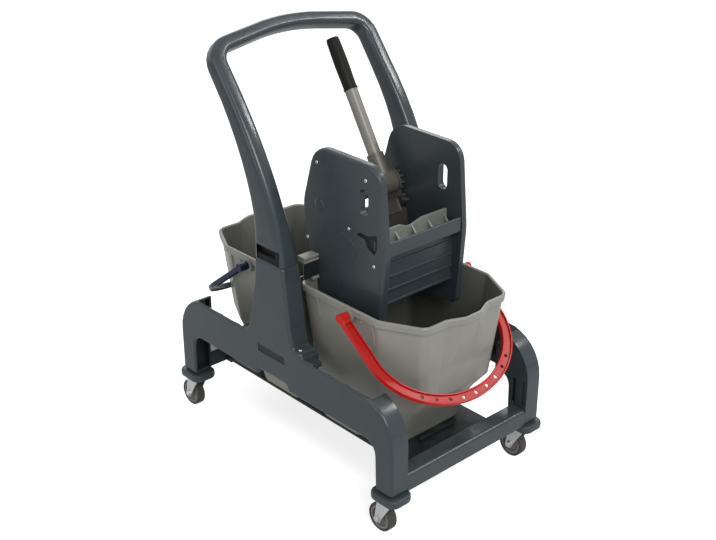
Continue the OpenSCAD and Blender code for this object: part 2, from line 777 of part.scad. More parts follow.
module bucket() {
    lip = 2;
    outer = concat(
        [bucket_ring(0, foot_r), bucket_ring(foot_r * 0.3, foot_r * 0.3), bucket_ring(foot_r, 0)],
        [for (z = shell_steps) bucket_ring(z, 0)],
        [bucket_ring(bucket_h - rim_h - 1, 0), bucket_ring(bucket_h - rim_h, -rim_out),
            bucket_ring(bucket_h - lip, -rim_out), bucket_ring(bucket_h, lip - rim_out)]);
    inner = concat(
        [bucket_ring(bucket_h, bucket_wall - lip), bucket_ring(bucket_h - lip, bucket_wall)],
        [for (z = reversed(shell_steps)) bucket_ring(z, bucket_wall)],
        [bucket_ring(bucket_floor_t + foot_r, bucket_wall),
            bucket_ring(bucket_floor_t, bucket_wall + foot_r)]);
    wall_y = bucket_w / 2 - rim_out - side_in * lean_in(pivot_z) - bucket_wall / 2;
    ear_y = bucket_w / 2 + ear_out;
    skin(concat(outer, inner));
    both_sides() {
        rod_y(pivot_x, pivot_z, ear_r, wall_y, ear_y);
        rod_y(pivot_x, pivot_z, pivot_d / 2, wall_y, ear_y + stud_l);
    }
}

module at_front_bucket() {
    translate([rim_x, 0, floor_z]) children();
}

module bucket_front() {
    color(bucket_grey) at_front_bucket() bucket();
}

module bucket_rear() {
    color(bucket_grey) mirror([1, 0, 0]) at_front_bucket() bucket();
}

// Bails: flat straps bent into a half ellipse, with a rim along each edge and a row of grip holes

bail_a = bail_reach - bail_arm;
bail_rim_t = 3.2;
bail_floor_t = 3;
grip_holes = 4;
grip_pitch = 11;
grip_hole_r = 3.5;

function bail_point(t, d) =
    let (n = unit([bail_y * cos(t), bail_a * sin(t)]))
    [bail_arm + bail_a * cos(t), bail_y * sin(t)] + d * n;

function bail_line(start, d) = concat(
    [[start, -bail_y - d]],
    [for (t = [-90 : 6 : 90]) bail_point(t, d)],
    [[start, bail_y + d]]);

// Band along the bail, to a distance on either side of its middle line and between two heights
module strap(start, d, z0, z1) {
    translate([0, 0, z0]) linear_extrude(z1 - z0)
        polygon(concat(bail_line(start, d), reversed(bail_line(start, -d))));
}

module bail() {
    eye_r = pivot_d / 2 + 4;
    inner_y = bail_y - bail_w / 2;
    groove = bail_w / 2 - bail_rim_t;
    rotate([0, bail_rest, 0]) difference() {
        union() {
            strap(0, bail_w / 2, -bail_h / 2, bail_h / 2);
            both_sides() rod_y(0, 0, eye_r, inner_y, bail_y + bail_w / 2);
        }
        strap(eye_r + 6, groove, bail_floor_t / 2, bail_h);
        strap(eye_r + 6, groove, -bail_h, -bail_floor_t / 2);
        // Blind bore for the bucket's stud
        both_sides() rod_y(0, 0, pivot_d / 2 + fit, inner_y - 1, inner_y + stud_l);
        for (k = [-grip_holes : grip_holes]) {
            p = bail_point(k * grip_pitch, 0);
            translate([p[0], p[1], 0]) cylinder(r = grip_hole_r, h = bail_h, center = true);
        }
    }
}

module bail_front() {
    color([0.80, 0.14, 0.12]) translate([rim_x + pivot_x, 0, floor_z + pivot_z]) bail();
}

module bail_rear() {
    color([0.10, 0.14, 0.28]) mirror([1, 0, 0]) translate([rim_x + pivot_x, 0, floor_z + pivot_z]) bail();
}

// Wringer, drawn from the middle of the front bucket's rear rim: x forwards, z up

module on_rim() {
    translate([rim_x, 0, rim_z]) children();
}

cheek_outline = [
    [rear_in / 2 + 4, -cheek_drop, 10], [cheek_front - 12, -cheek_drop, 14], [cheek_front, 105, 200],
    [cheek_front - 16, cheek_top - 2, 38], [6, cheek_top + 1, 50], [-cheek_bulge, shaft_z - 8, 90],
    [-cheek_bulge + 17, 48, 40], [12, 10, 20]
];

cheek_screw_places = [
    [16, cheek_top - 32], [cheek_front - 52, cheek_top - 32], [106, 133], [cheek_front - 29, 78], [-14, 79]
];

slot_x = cheek_front - 58;
slot_z = 197;
slot_h = 52;
slot_r = 12;
pocket_z = 128;

module cheek() {
    difference() {
        union() {
            upright(cheek_in) soft_plate(cheek_outline, cheek_t, cheek_edge_r);
            // Low boss over the end of the shaft
            translate([shaft_x, -wringer_w / 2 + 0.1, shaft_z]) rotate([90, 0, 0])
                cylinder(r1 = 15, r2 = 9, h = 2.6);
        }
        // Hand slot
        upright(cheek_in - 1) linear_extrude(cheek_t + 2) translate([slot_x, slot_z]) {
            square([2 * slot_r, slot_h - 2 * slot_r], center = true);
            for (s = [-1, 1]) translate([0, s * (slot_h / 2 - slot_r)]) circle(r = slot_r);
        }
        // L-shaped pocket behind the crossbar's end
        upright(cheek_in + cheek_t - 5) linear_extrude(6) translate([slot_x - 22, pocket_z])
            difference() {
                polygon([[1, -1], [12, 7], [34, 6], [58, 14], [57, -17], [50, -27], [31, -19], [23, -3]]);
                // Rib left standing in the pocket
                polygon([[49, 1], [54, 1], [54, -17], [50, -17]]);
            }
        // Blind seats for the bush and the jaw's pin
        rod_y(shaft_x, shaft_z, journal_d / 2 + bush_wall + fit, -cheek_in - bush_l - seat_gap, 0);
        rod_y(shaft_x, jaw_pivot_z, jaw_pin_d / 2 + fit, -cheek_in - bush_l - seat_gap, 0);
        for (p = cheek_screw_places)
            rod_y(p[0], p[1], cheek_shank_r + fit, -wringer_w, 2 - cheek_in - cheek_t / 4);
    }
}

module wringer_cheek_left() {
    color(frame_grey) on_rim() cheek();
}

module wringer_cheek_right() {
    color(frame_grey) on_rim() mirror([0, 1, 0]) cheek();
}

module cheek_screws() {
    color(zinc) on_rim() both_sides() for (p = cheek_screw_places) {
        rod_y(p[0], p[1], cheek_screw_r, -wringer_w / 2 - cheek_screw_t, -wringer_w / 2);
        rod_y(p[0], p[1], cheek_shank_r, -wringer_w / 2 - 0.1, -cheek_in - cheek_t / 4);
    }
}

module shaft_bushes() {
    color(pale_grey) on_rim() both_sides() difference() {
        rod_y(shaft_x, shaft_z, journal_d / 2 + bush_wall, -cheek_in - bush_l, -cheek_in);
        rod_y(shaft_x, shaft_z, journal_d / 2 + fit, -wringer_w, 0);
    }
}

module jaw_pins() {
    color(zinc) on_rim() both_sides()
        rod_y(shaft_x, jaw_pivot_z, jaw_pin_d / 2, -cheek_in - bush_l, -arm_in - 1);
}

// Front panel: a ribbed plate under a crossbar, which is a wall along the front of a shelf
module wringer_front_panel() {
    bar_front = cheek_front - 4;
    color(frame_grey) on_rim() upright(-cheek_in) linear_extrude(2 * cheek_in) {
        translate([panel_x, panel_bottom]) square([panel_t, shelf_z - panel_bottom]);
        translate([panel_x, bar_low]) square([bar_front - panel_x, bar_wall]);
        translate([bar_front - bar_wall, bar_low]) square([bar_wall, crossbar_h - bar_wall / 2]);
        translate([bar_front - bar_wall / 2, crossbar_top - bar_wall / 2]) circle(d = bar_wall);
        for (k = [0 : 3])
            translate([panel_x + panel_t - 1, panel_bottom + (bar_low - panel_bottom) * k / 4])
                square([4, 4]);
    }
}

// Comb: slotted front jaw with gussets and a ledge on the panel's shelf
module wringer_comb() {
    low = 18;
    dip_h = 8;
    pitch = 18;
    slot_half = floor((cheek_in - 14) / pitch);
    gusset_half = 2;
    gusset_pitch = (cheek_in - 8) / gusset_half;
    back = comb_x + comb_t - 0.5;
    color(pale_grey) on_rim() {
        translate([comb_x, 0, 0]) rotate([90, 0, 90]) linear_extrude(comb_t) difference() {
            translate([-cheek_in, low]) square([2 * cheek_in, comb_top - low]);
            translate([0, comb_top]) polygon([[-30, 0.1], [-9, -dip_h], [-1, -dip_h], [31, 0.1]]);
            for (k = [-slot_half : slot_half]) translate([k * pitch, 0]) {
                translate([-3, low + 14]) square([6, 62]);
                translate([0, low + 14]) circle(r = 3);
                translate([0, low + 76]) circle(r = 3);
            }
        }
        box([back, -cheek_in, shelf_z], [panel_x + 4, cheek_in, shelf_z + 3]);
        for (k = [-gusset_half : gusset_half]) translate([0, k * gusset_pitch, 0]) rotate([90, 0, 0])
            linear_extrude(4, center = true)
                polygon([[back, comb_top - 9], [back, shelf_z - 12], [panel_x, shelf_z - 12],
                    [panel_x, shelf_z], [panel_x + 10, shelf_z]]);
    }
}

// Drain plate under the press, rising to the front, with rows of holes
module wringer_sieve() {
    x0 = 56;
    l = (panel_x - 4 - x0) / cos(sieve_tilt);
    pitch = 18;
    rows = floor((l - 14) / pitch);
    columns = floor((2 * cheek_in - 14) / pitch / 2);
    color(frame_grey) on_rim() translate([x0, 0, sieve_z]) rotate([0, -sieve_tilt, 0]) difference() {
        union() {
            box([0, -cheek_in, 0], [l, cheek_in, sieve_t]);
            box([0, -cheek_in, -4], [5, cheek_in, 1]);
            box([l - 5, -cheek_in, -4], [l, cheek_in, 1]);
        }
        for (i = [0 : rows - 1], j = [-columns : columns])
            translate([16 + i * pitch, j * pitch, -5]) cylinder(r = 5, h = sieve_t + 10);
    }
}

// Hangers: brackets on the cheeks that hook over the bucket's rear rim
module hanger() {
    hook_y = bucket_w / 2 - 26;
    flange_y = bucket_w / 2 - 6;
    hook_t = 3;
    hook_x = -hook_t - 1;
    top = 53;
    y0 = -wringer_w / 2;
    upright(-y0) linear_extrude(hook_y + y0) {
        translate([hook_x, seat_gap]) square([22, 6]);
        translate([hook_x, -rim_h]) square([hook_t, rim_h + 1]);
    }
    upright(-y0) linear_extrude(flange_y + y0) difference() {
        union() {
            translate([12, 5]) square([4, top - 6]);
            translate([hook_x, top - 12]) square([22, 12]);
        }
        translate([hook_x - 1, top - 7.5]) square([3.5, 3]);
    }
}

module wringer_hanger_left() {
    color(pale_grey) on_rim() hanger();
}

module wringer_hanger_right() {
    color(pale_grey) on_rim() mirror([0, 1, 0]) hanger();
}

// Involute gears: half the angle of a tooth at radius r
function involute(a) = tan(a) * 180 / PI - a;
function tooth_half(teeth, r) =
    let (pitch_r = gear_module * teeth / 2, base_r = pitch_r * cos(pressure))
    90 / teeth - backlash / pitch_r * 45 / PI + involute(pressure) - involute(acos(min(1, base_r / r)));

// Outline of one tooth about the angle a, from root to tip and back
function tooth(teeth, a) =
    let (pitch_r = gear_module * teeth / 2, root = pitch_r - dedendum, tip = pitch_r + addendum)
    let (flank = [for (k = [0 : 5]) mix(root, tip, k / 5)])
    concat(
        [for (r = flank) let (h = tooth_half(teeth, r)) r * [cos(a - h), sin(a - h)]],
        [for (r = reversed(flank)) let (h = tooth_half(teeth, r)) r * [cos(a + h), sin(a + h)]]);

module pinion_outline() {
    step = 360 / pinion_teeth;
    polygon([for (k = [0 : pinion_teeth - 1]) each tooth(pinion_teeth, -90 + step * (k + 0.5))]);
}

// Drive shaft across the cheeks
module press_shaft() {
    color(pale_grey) on_rim() {
        rod_y(shaft_x, shaft_z, drum_d / 2, -arm_in + run, arm_in - run);
        rod_y(shaft_x, shaft_z, journal_d / 2, -cheek_in - bush_l + 1, cheek_in + bush_l - 1);
        both_sides() rod_y(shaft_x, shaft_z, flange_r, arm_in - run - 3, arm_in - run);
    }
}

module drive_pinions() {
    color(pale_grey) on_rim() both_sides() difference() {
        translate([shaft_x, 0, shaft_z]) upright(pinion_y - pinion_w / 2) linear_extrude(pinion_w)
            pinion_outline();
        rod_y(shaft_x, shaft_z, journal_d / 2 + fit, -wringer_w, 0);
    }
}

// Lever: socket on the shaft, tube and ribbed grip, all on one leaning axis
module along_lever() {
    translate([shaft_x, lever_y, shaft_z]) rotate([0, -lever_lean, 0]) children();
}

socket_l = 62;
socket_seat = 24;

module lever_socket() {
    color(pale_grey) on_rim() difference() {
        union() {
            rod_y(shaft_x, shaft_z, socket_r, lever_y - socket_w / 2, lever_y + socket_w / 2);
            along_lever() cylinder(r = lever_d / 2 + 4, h = socket_l);
        }
        rod_y(shaft_x, shaft_z, drum_d / 2 + fit, 0, wringer_w);
        along_lever() translate([0, 0, socket_seat]) cylinder(d = lever_d + 2 * fit, h = socket_l);
    }
}

module lever_tube() {
    bore = lever_d - 6;
    color(pale_grey) on_rim() along_lever() difference() {
        translate([0, 0, socket_seat]) cylinder(d = lever_d, h = lever_l - socket_seat - 8);
        translate([0, 0, socket_seat - 1]) cylinder(d = bore, h = lever_l - socket_seat - 14);
    }
}

module lever_grip() {
    ribs = 9;
    pitch = (grip_l - 22) / ribs;
    start = lever_l - grip_l;
    inner = lever_d / 2 + fit;
    color(black) on_rim() along_lever() rotate_extrude() {
        translate([inner, start]) square([grip_d / 2 - inner + 1.5, 5]);
        translate([inner, start]) square([grip_d / 2 - 1.2 - inner, grip_l - 7]);
        for (k = [0 : ribs - 1])
            translate([inner, start + 9 + k * pitch]) square([grip_d / 2 - inner, pitch * 0.6]);
        difference() {
            union() {
                translate([0, lever_l - 8 + fit]) square([grip_d / 2 - 6, 8 - fit]);
                translate([0, lever_l - 8 + fit]) square([grip_d / 2 - 1.2, 2 - fit]);
                translate([grip_d / 2 - 7.2, lever_l - 6]) circle(r = 6);
            }
            translate([-20, lever_l - 20]) square([60, 12 + fit]);
        }
    }
}

// Press jaw: hanging plate, with a toothed sector and a pivot hub at each end
jaw_x = 63;
jaw_top = 126;
web_top = 104;
jaw_front = [
    [0.65 * jaw_x, jaw_top], [0.81 * jaw_x, 0.86 * jaw_top], [0.95 * jaw_x, 0.44 * jaw_top],
    [jaw_x, -0.28 * jaw_drop], [0.95 * jaw_x, -jaw_drop]
];
jaw_profile = concat(jaw_front, [for (p = reversed(jaw_front)) p - [jaw_t, 0]]);

module sector_outline() {
    step = 360 / sector_teeth;
    polygon(concat([[0, 0]], [for (k = [3 : -1 : -1]) each tooth(sector_teeth, 90 - step * k)]));
}

module press_jaw() {
    arm_mid = pinion_y - sector_w / 2;
    color(pale_grey) on_rim() difference() {
        union() {
            upright(-arm_in + 1.5) linear_extrude(2 * arm_in - 3) polygon(jaw_profile);
            upright(-arm_mid - sector_w) linear_extrude(2 * (arm_mid + sector_w)) intersection() {
                polygon(jaw_profile);
                translate([0, -100]) square([100, web_top + 100]);
            }
            for (k = [-3 : 3]) upright(k * arm_in / 3.6 - 2.5) linear_extrude(5)
                polygon([[jaw_x - 11, 60], [jaw_x - 23, 20], [jaw_x - 17, 8 - jaw_drop],
                    [jaw_x - 7, 8 - jaw_drop], [jaw_x - 7, 60]]);
            both_sides() upright(arm_mid) linear_extrude(sector_w) translate([shaft_x, jaw_pivot_z]) {
                sector_outline();
                circle(r = jaw_hub_r);
                polygon([[0, jaw_hub_r], [30, 14], [36, -40], [0, -jaw_hub_r]]);
            }
        }
        rod_y(shaft_x, jaw_pivot_z, jaw_pin_d / 2 + fit, -wringer_w, wringer_w);
    }
}

side_frame_left();
side_frame_right();
push_handle();
handle_latches();
column_screws();
front_cross_bar();
rear_cross_bar();
bucket_tray();
tray_bolts();
for (c = CORNERS) {
    at_corner(c) corner_bumper();
    at_corner(c) castor_stem();
    at_corner(c) castor_fork();
    at_corner(c) castor_axle();
    at_corner(c) wheel_core();
    at_corner(c) tyre();
}
bucket_front();
bucket_rear();
bail_front();
bail_rear();
wringer_cheek_left();
wringer_cheek_right();
wringer_front_panel();
wringer_comb();
wringer_sieve();
wringer_hanger_left();
wringer_hanger_right();
cheek_screws();
shaft_bushes();
jaw_pins();
press_shaft();
drive_pinions();
lever_socket();
lever_tube();
lever_grip();
press_jaw();
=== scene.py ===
"""Looks of the double mop bucket trolley: finishes, softened mouldings and small fittings."""

import json
import logging
import math
from collections.abc import Callable
from dataclasses import dataclass
from enum import Enum

import bpy
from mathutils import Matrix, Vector
from mathutils.bvhtree import BVHTree

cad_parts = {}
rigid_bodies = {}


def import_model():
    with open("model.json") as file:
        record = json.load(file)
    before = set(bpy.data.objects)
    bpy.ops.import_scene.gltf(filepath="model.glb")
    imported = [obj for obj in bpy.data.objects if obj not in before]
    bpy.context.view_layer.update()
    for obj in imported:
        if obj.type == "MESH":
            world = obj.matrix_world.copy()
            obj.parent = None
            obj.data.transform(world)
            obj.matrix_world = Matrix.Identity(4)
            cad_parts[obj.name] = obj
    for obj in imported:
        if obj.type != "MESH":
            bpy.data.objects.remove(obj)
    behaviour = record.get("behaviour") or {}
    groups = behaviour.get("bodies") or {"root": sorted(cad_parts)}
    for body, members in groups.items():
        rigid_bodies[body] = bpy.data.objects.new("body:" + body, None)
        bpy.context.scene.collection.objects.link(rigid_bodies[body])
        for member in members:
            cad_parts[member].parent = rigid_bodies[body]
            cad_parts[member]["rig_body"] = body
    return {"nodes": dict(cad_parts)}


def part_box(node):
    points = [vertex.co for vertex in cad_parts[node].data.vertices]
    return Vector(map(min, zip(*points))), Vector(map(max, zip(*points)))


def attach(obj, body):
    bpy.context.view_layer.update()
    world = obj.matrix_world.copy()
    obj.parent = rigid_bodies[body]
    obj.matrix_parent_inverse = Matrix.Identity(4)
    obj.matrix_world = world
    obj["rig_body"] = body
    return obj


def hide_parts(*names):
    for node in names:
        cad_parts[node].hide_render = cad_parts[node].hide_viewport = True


LOG = logging.getLogger("trolley")
MM = 0.001
# Corners of a CAD mesh that are closer than MERGE become one, and edges flatter than FLAT go.
MERGE = 0.02 * MM
FLAT = math.radians(0.4)
# Two places that are closer than this are the same place.
SAME = 0.01 * MM
# A face points along an axis where its normal has more than this share of it.
FACING = 0.9
# Well outside the trolley, in metres.
BEYOND = 1.0
QUARTER_TURN = 90.0
# Corners in the outline of a smooth round piece.
ROUND_SIDES = 48
CORNERS = ("front_left", "front_right", "rear_left", "rear_right")

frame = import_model()

Pair = tuple[float, float]
Point = tuple[float, float, float]
Colour = tuple[float, float, float]
Tone = Colour | bpy.types.NodeSocket
Signal = float | bpy.types.NodeSocket


def select_none() -> None:
    """Leaves edit mode, with nothing selected."""
    if bpy.context.object and bpy.context.object.mode != "OBJECT":
        bpy.ops.object.mode_set(mode="OBJECT")
    bpy.ops.object.select_all(action="DESELECT")


def select_only(*objects: bpy.types.Object) -> None:
    """Leaves just these objects selected, with the first one active.

    Args:
        objects: The objects to select.
    """
    select_none()
    for obj in objects:
        obj.select_set(True)
    bpy.context.view_layer.objects.active = objects[0]


def apply_modifier(obj: bpy.types.Object, kind: str, **settings: object) -> None:
    """Adds one modifier with these settings and applies it.

    Args:
        obj: The object to change.
        kind: Blender's name for the kind of modifier.
        settings: Values for the modifier's properties.
    """
    select_only(obj)
    modifier = obj.modifiers.new(kind.lower(), kind)
    for key, value in settings.items():
        setattr(modifier, key, value)
    bpy.ops.object.modifier_apply(modifier=modifier.name)


def shade(obj: bpy.types.Object, angle: float = 40.0) -> None:
    """Smooths the shading across edges flatter than the angle, with large faces kept flat.

    Args:
        obj: The object to shade.
        angle: The sharpest smooth edge, in degrees.
    """
    select_only(obj)
    bpy.ops.object.shade_smooth_by_angle(angle=math.radians(angle))
    apply_modifier(obj, "WEIGHTED_NORMAL", mode="FACE_AREA", weight=50, keep_sharp=True)


def soften(obj: bpy.types.Object, width: float, angle: float = 30.0) -> None:
    """Rounds the edges of a small piece.

    Args:
        obj: The piece.
        width: How far the rounding reaches.
        angle: The flattest edge that is rounded, in degrees.
    """
    limit = math.radians(angle)
    apply_modifier(obj, "BEVEL", width=width, segments=3, limit_method="ANGLE", angle_limit=limit)


def settle(obj: bpy.types.Object) -> None:
    """Moves an object's place, turn and size into its mesh."""
    select_only(obj)
    bpy.ops.object.transform_apply(location=True, rotation=True, scale=True)


def pick(obj: bpy.types.Object, test: Callable[[Vector, Vector], bool]) -> None:
    """Starts edit mode with just the faces selected that pass a test.

    Args:
        obj: The object to edit.
        test: Takes a face's centre and normal.
    """
    select_only(obj)
    bpy.context.tool_settings.mesh_select_mode = (False, False, True)
    for elements in (obj.data.vertices, obj.data.edges):
        elements.foreach_set("select", [False] * len(elements))
    for face in obj.data.polygons:
        face.select = test(face.center, face.normal)
    bpy.ops.object.mode_set(mode="EDIT")


def every_face(centre: Vector, normal: Vector) -> bool:
    """Passes every face."""
    return True


def points_up(centre: Vector, normal: Vector) -> bool:
    """Passes the faces that point up."""
    return normal.z > FACING


def points_down(centre: Vector, normal: Vector) -> bool:
    """Passes the faces that point down."""
    return normal.z < -FACING


def block(name: str, corner: Point, opposite: Point) -> bpy.types.Object:
    """Adds a block between two opposite corners, as the start of a piece.

    Args:
        name: The piece's name.
        corner: One of its corners.
        opposite: The corner opposite to that one.

    Returns:
        The block, with its place in its mesh.
    """
    select_none()
    middle = [(a + b) / 2 for a, b in zip(corner, opposite)]
    bpy.ops.mesh.primitive_cube_add(size=1, location=middle)
    obj = bpy.context.object
    obj.name = name
    obj.scale = [abs(b - a) for a, b in zip(corner, opposite)]
    settle(obj)
    return obj


def disc(name: str, radius: float, height: float, vertices: int = 32) -> bpy.types.Object:
    """Adds a disc that stands on the origin, as the start of a piece.

    Args:
        name: The piece's name.
        radius: Its radius.
        height: Its height up the Z axis.
        vertices: How many corners its outline has.

    Returns:
        The disc, with its place in its mesh.
    """
    select_none()
    middle = (0, 0, height / 2)
    bpy.ops.mesh.primitive_cylinder_add(vertices=vertices, radius=radius, depth=height, location=middle)
    obj = bpy.context.object
    obj.name = name
    settle(obj)
    return obj


def cut(obj: bpy.types.Object, cutter: bpy.types.Object) -> None:
    """Cuts a shape out of a piece and removes the cutter."""
    apply_modifier(obj, "BOOLEAN", object=cutter, operation="DIFFERENCE", solver="EXACT")
    bpy.data.objects.remove(cutter)


def placed_copy(
    source: bpy.types.Object, place: Point = (0, 0, 0), turn: Point = (0, 0, 0), size: Point = (1, 1, 1)
) -> bpy.types.Object:
    """Copies a modelled piece with its own mesh and puts it in place.

    Args:
        source: The piece to copy.
        place: Where the copy goes.
        turn: How the copy is turned, in degrees about X, Y and Z.
        size: The copy's scale, negative where it is mirrored.

    Returns:
        The copy, with its place in its mesh.
    """
    obj = bpy.data.objects.new(source.name, source.data.copy())
    bpy.context.scene.collection.objects.link(obj)
    obj.location = place
    obj.rotation_euler = [math.radians(angle) for angle in turn]
    obj.scale = size
    settle(obj)
    pick(obj, every_face)
    bpy.ops.mesh.normals_make_consistent(inside=False)
    bpy.ops.object.mode_set(mode="OBJECT")
    return obj


def join(name: str, pieces: list[bpy.types.Object]) -> bpy.types.Object:
    """Joins pieces into one object under a new name.

    Args:
        name: The new name.
        pieces: The pieces to join.

    Returns:
        The joined object.
    """
    select_only(*pieces)
    bpy.ops.object.join()
    obj = bpy.context.object
    obj.name = name
    return obj


def outer_face(node: str, x: float, z: float, side: int) -> float:
    """Finds where the outer face of a CAD node lies at a place.

    Args:
        node: The CAD node.
        x: The place along the trolley.
        z: The place's height.
        side: The side to look from, -1 for the left and 1 for the right.

    Returns:
        The face's place across the trolley.
    """
    mesh = frame["nodes"][node].data
    tree = BVHTree.FromPolygons([v.co for v in mesh.vertices], [f.vertices for f in mesh.polygons])
    place, _, _, _ = tree.ray_cast(Vector((x, side * BEYOND, z)), Vector((0, -side, 0)))
    if place is None:
        raise ValueError(f"{node} has no face at x {x}, z {z}")
    return place.y


@dataclass(frozen=True)
class Edge:
    """How a copied moulding is softened, with a broader rounding above a height if one is given."""

    width: float = 0.8 * MM
    segments: int = 2
    bevel_angle: float = 34.0
    smooth_angle: float = 38.0
    broad: float = 0.0
    broad_from: float = 0.0
    broad_segments: int = 5


def weld(obj: bpy.types.Object) -> None:
    """Merges corners that a rounding has pushed together and drops the faces left without area.

    Args:
        obj: The rounded copy.
    """
    pick(obj, every_face)
    bpy.ops.mesh.remove_doubles(threshold=SAME)
    bpy.ops.mesh.dissolve_degenerate(threshold=SAME)
    bpy.ops.object.mode_set(mode="OBJECT")


def round_broadly(obj: bpy.types.Object, edge: Edge) -> None:
    """Rounds the sharp edges above a height with the broad width.

    Args:
        obj: The merged copy.
        edge: How its edges are softened.
    """
    select_only(obj)
    bpy.context.tool_settings.mesh_select_mode = (False, True, False)
    bpy.ops.object.mode_set(mode="EDIT")
    bpy.ops.mesh.select_all(action="DESELECT")
    bpy.ops.mesh.edges_select_sharp(sharpness=math.radians(edge.bevel_angle))
    bpy.ops.object.mode_set(mode="OBJECT")
    for line in obj.data.edges:
        line.select = line.select and all(obj.data.vertices[i].co.z > edge.broad_from for i in line.vertices)
    bpy.ops.object.mode_set(mode="EDIT")
    bpy.ops.mesh.bevel(
        offset=edge.broad, segments=edge.broad_segments, profile=0.5, affect="EDGES", clamp_overlap=True
    )
    bpy.ops.object.mode_set(mode="OBJECT")


def moulded_copy(
    node: str, name: str, edge: Edge, cutter: bpy.types.Object | None = None
) -> bpy.types.Object:
    """Makes a merged copy of a CAD node with softened edges, which stands for the node.

    Args:
        node: The CAD node to copy.
        name: The name of the new piece.
        edge: How its edges are softened.
        cutter: A shape to cut out of the copy first.

    Returns:
        The new piece, riding on the node's body.
    """
    source = frame["nodes"][node]
    obj = bpy.data.objects.new(name, source.data.copy())
    bpy.context.scene.collection.objects.link(obj)
    obj.data.materials.clear()
    select_only(obj)
    bpy.ops.mesh.customdata_custom_splitnormals_clear()
    bpy.ops.object.mode_set(mode="EDIT")
    bpy.ops.mesh.select_all(action="SELECT")
    bpy.ops.mesh.remove_doubles(threshold=MERGE)
    bpy.ops.mesh.dissolve_limited(angle_limit=FLAT)
    bpy.ops.object.mode_set(mode="OBJECT")
    if cutter:
        cut(obj, cutter)
    if edge.broad > 0:
        round_broadly(obj, edge)
    apply_modifier(
        obj,
        "BEVEL",
        width=edge.width,
        segments=edge.segments,
        limit_method="ANGLE",
        angle_limit=math.radians(edge.bevel_angle),
        use_clamp_overlap=False,
        miter_outer="MITER_ARC",
    )
    if edge.broad > 0:
        weld(obj)
    shade(obj, edge.smooth_angle)
    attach(obj, source["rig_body"])
    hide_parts(node)
    return obj


@dataclass(frozen=True)
class PanScrew:
    """A screw with a domed head and a cross recess.

    The dome and the cross are shares of the head's thickness or radius.
    """

    head_r: float
    head_t: float
    shank_r: float
    shank_l: float
    dome: float = 0.7
    cross_depth: float = 0.55
    cross_reach: float = 0.52
    cross_half: float = 0.11

    def model(self) -> bpy.types.Object:
        """Models the screw with its head up the Z axis, standing on the origin.

        Returns:
            The screw.
        """
        screw = disc("pan_screw", self.head_r, self.head_t)
        pick(screw, points_up)
        bpy.ops.mesh.bevel(offset=self.dome * self.head_t, segments=4, profile=0.5, affect="EDGES")
        pick(screw, points_down)
        bpy.ops.mesh.inset(thickness=self.head_r - self.shank_r, depth=0)
        bpy.ops.mesh.extrude_region_move(TRANSFORM_OT_translate={"value": (0, 0, -self.shank_l)})
        reach, half = self.cross_reach * self.head_r, self.cross_half * self.head_r
        top, depth = self.head_t, self.cross_depth * self.head_t
        for a, b in ((reach, half), (half, reach)):
            cut(screw, block("recess", (-a, -b, top - depth), (a, b, top + depth)))
        shade(screw)
        return screw


@dataclass(frozen=True)
class Patches:
    """Uneven patches: a noise and the limits between which they fade in."""

    scale: float
    detail: float
    limits: Pair


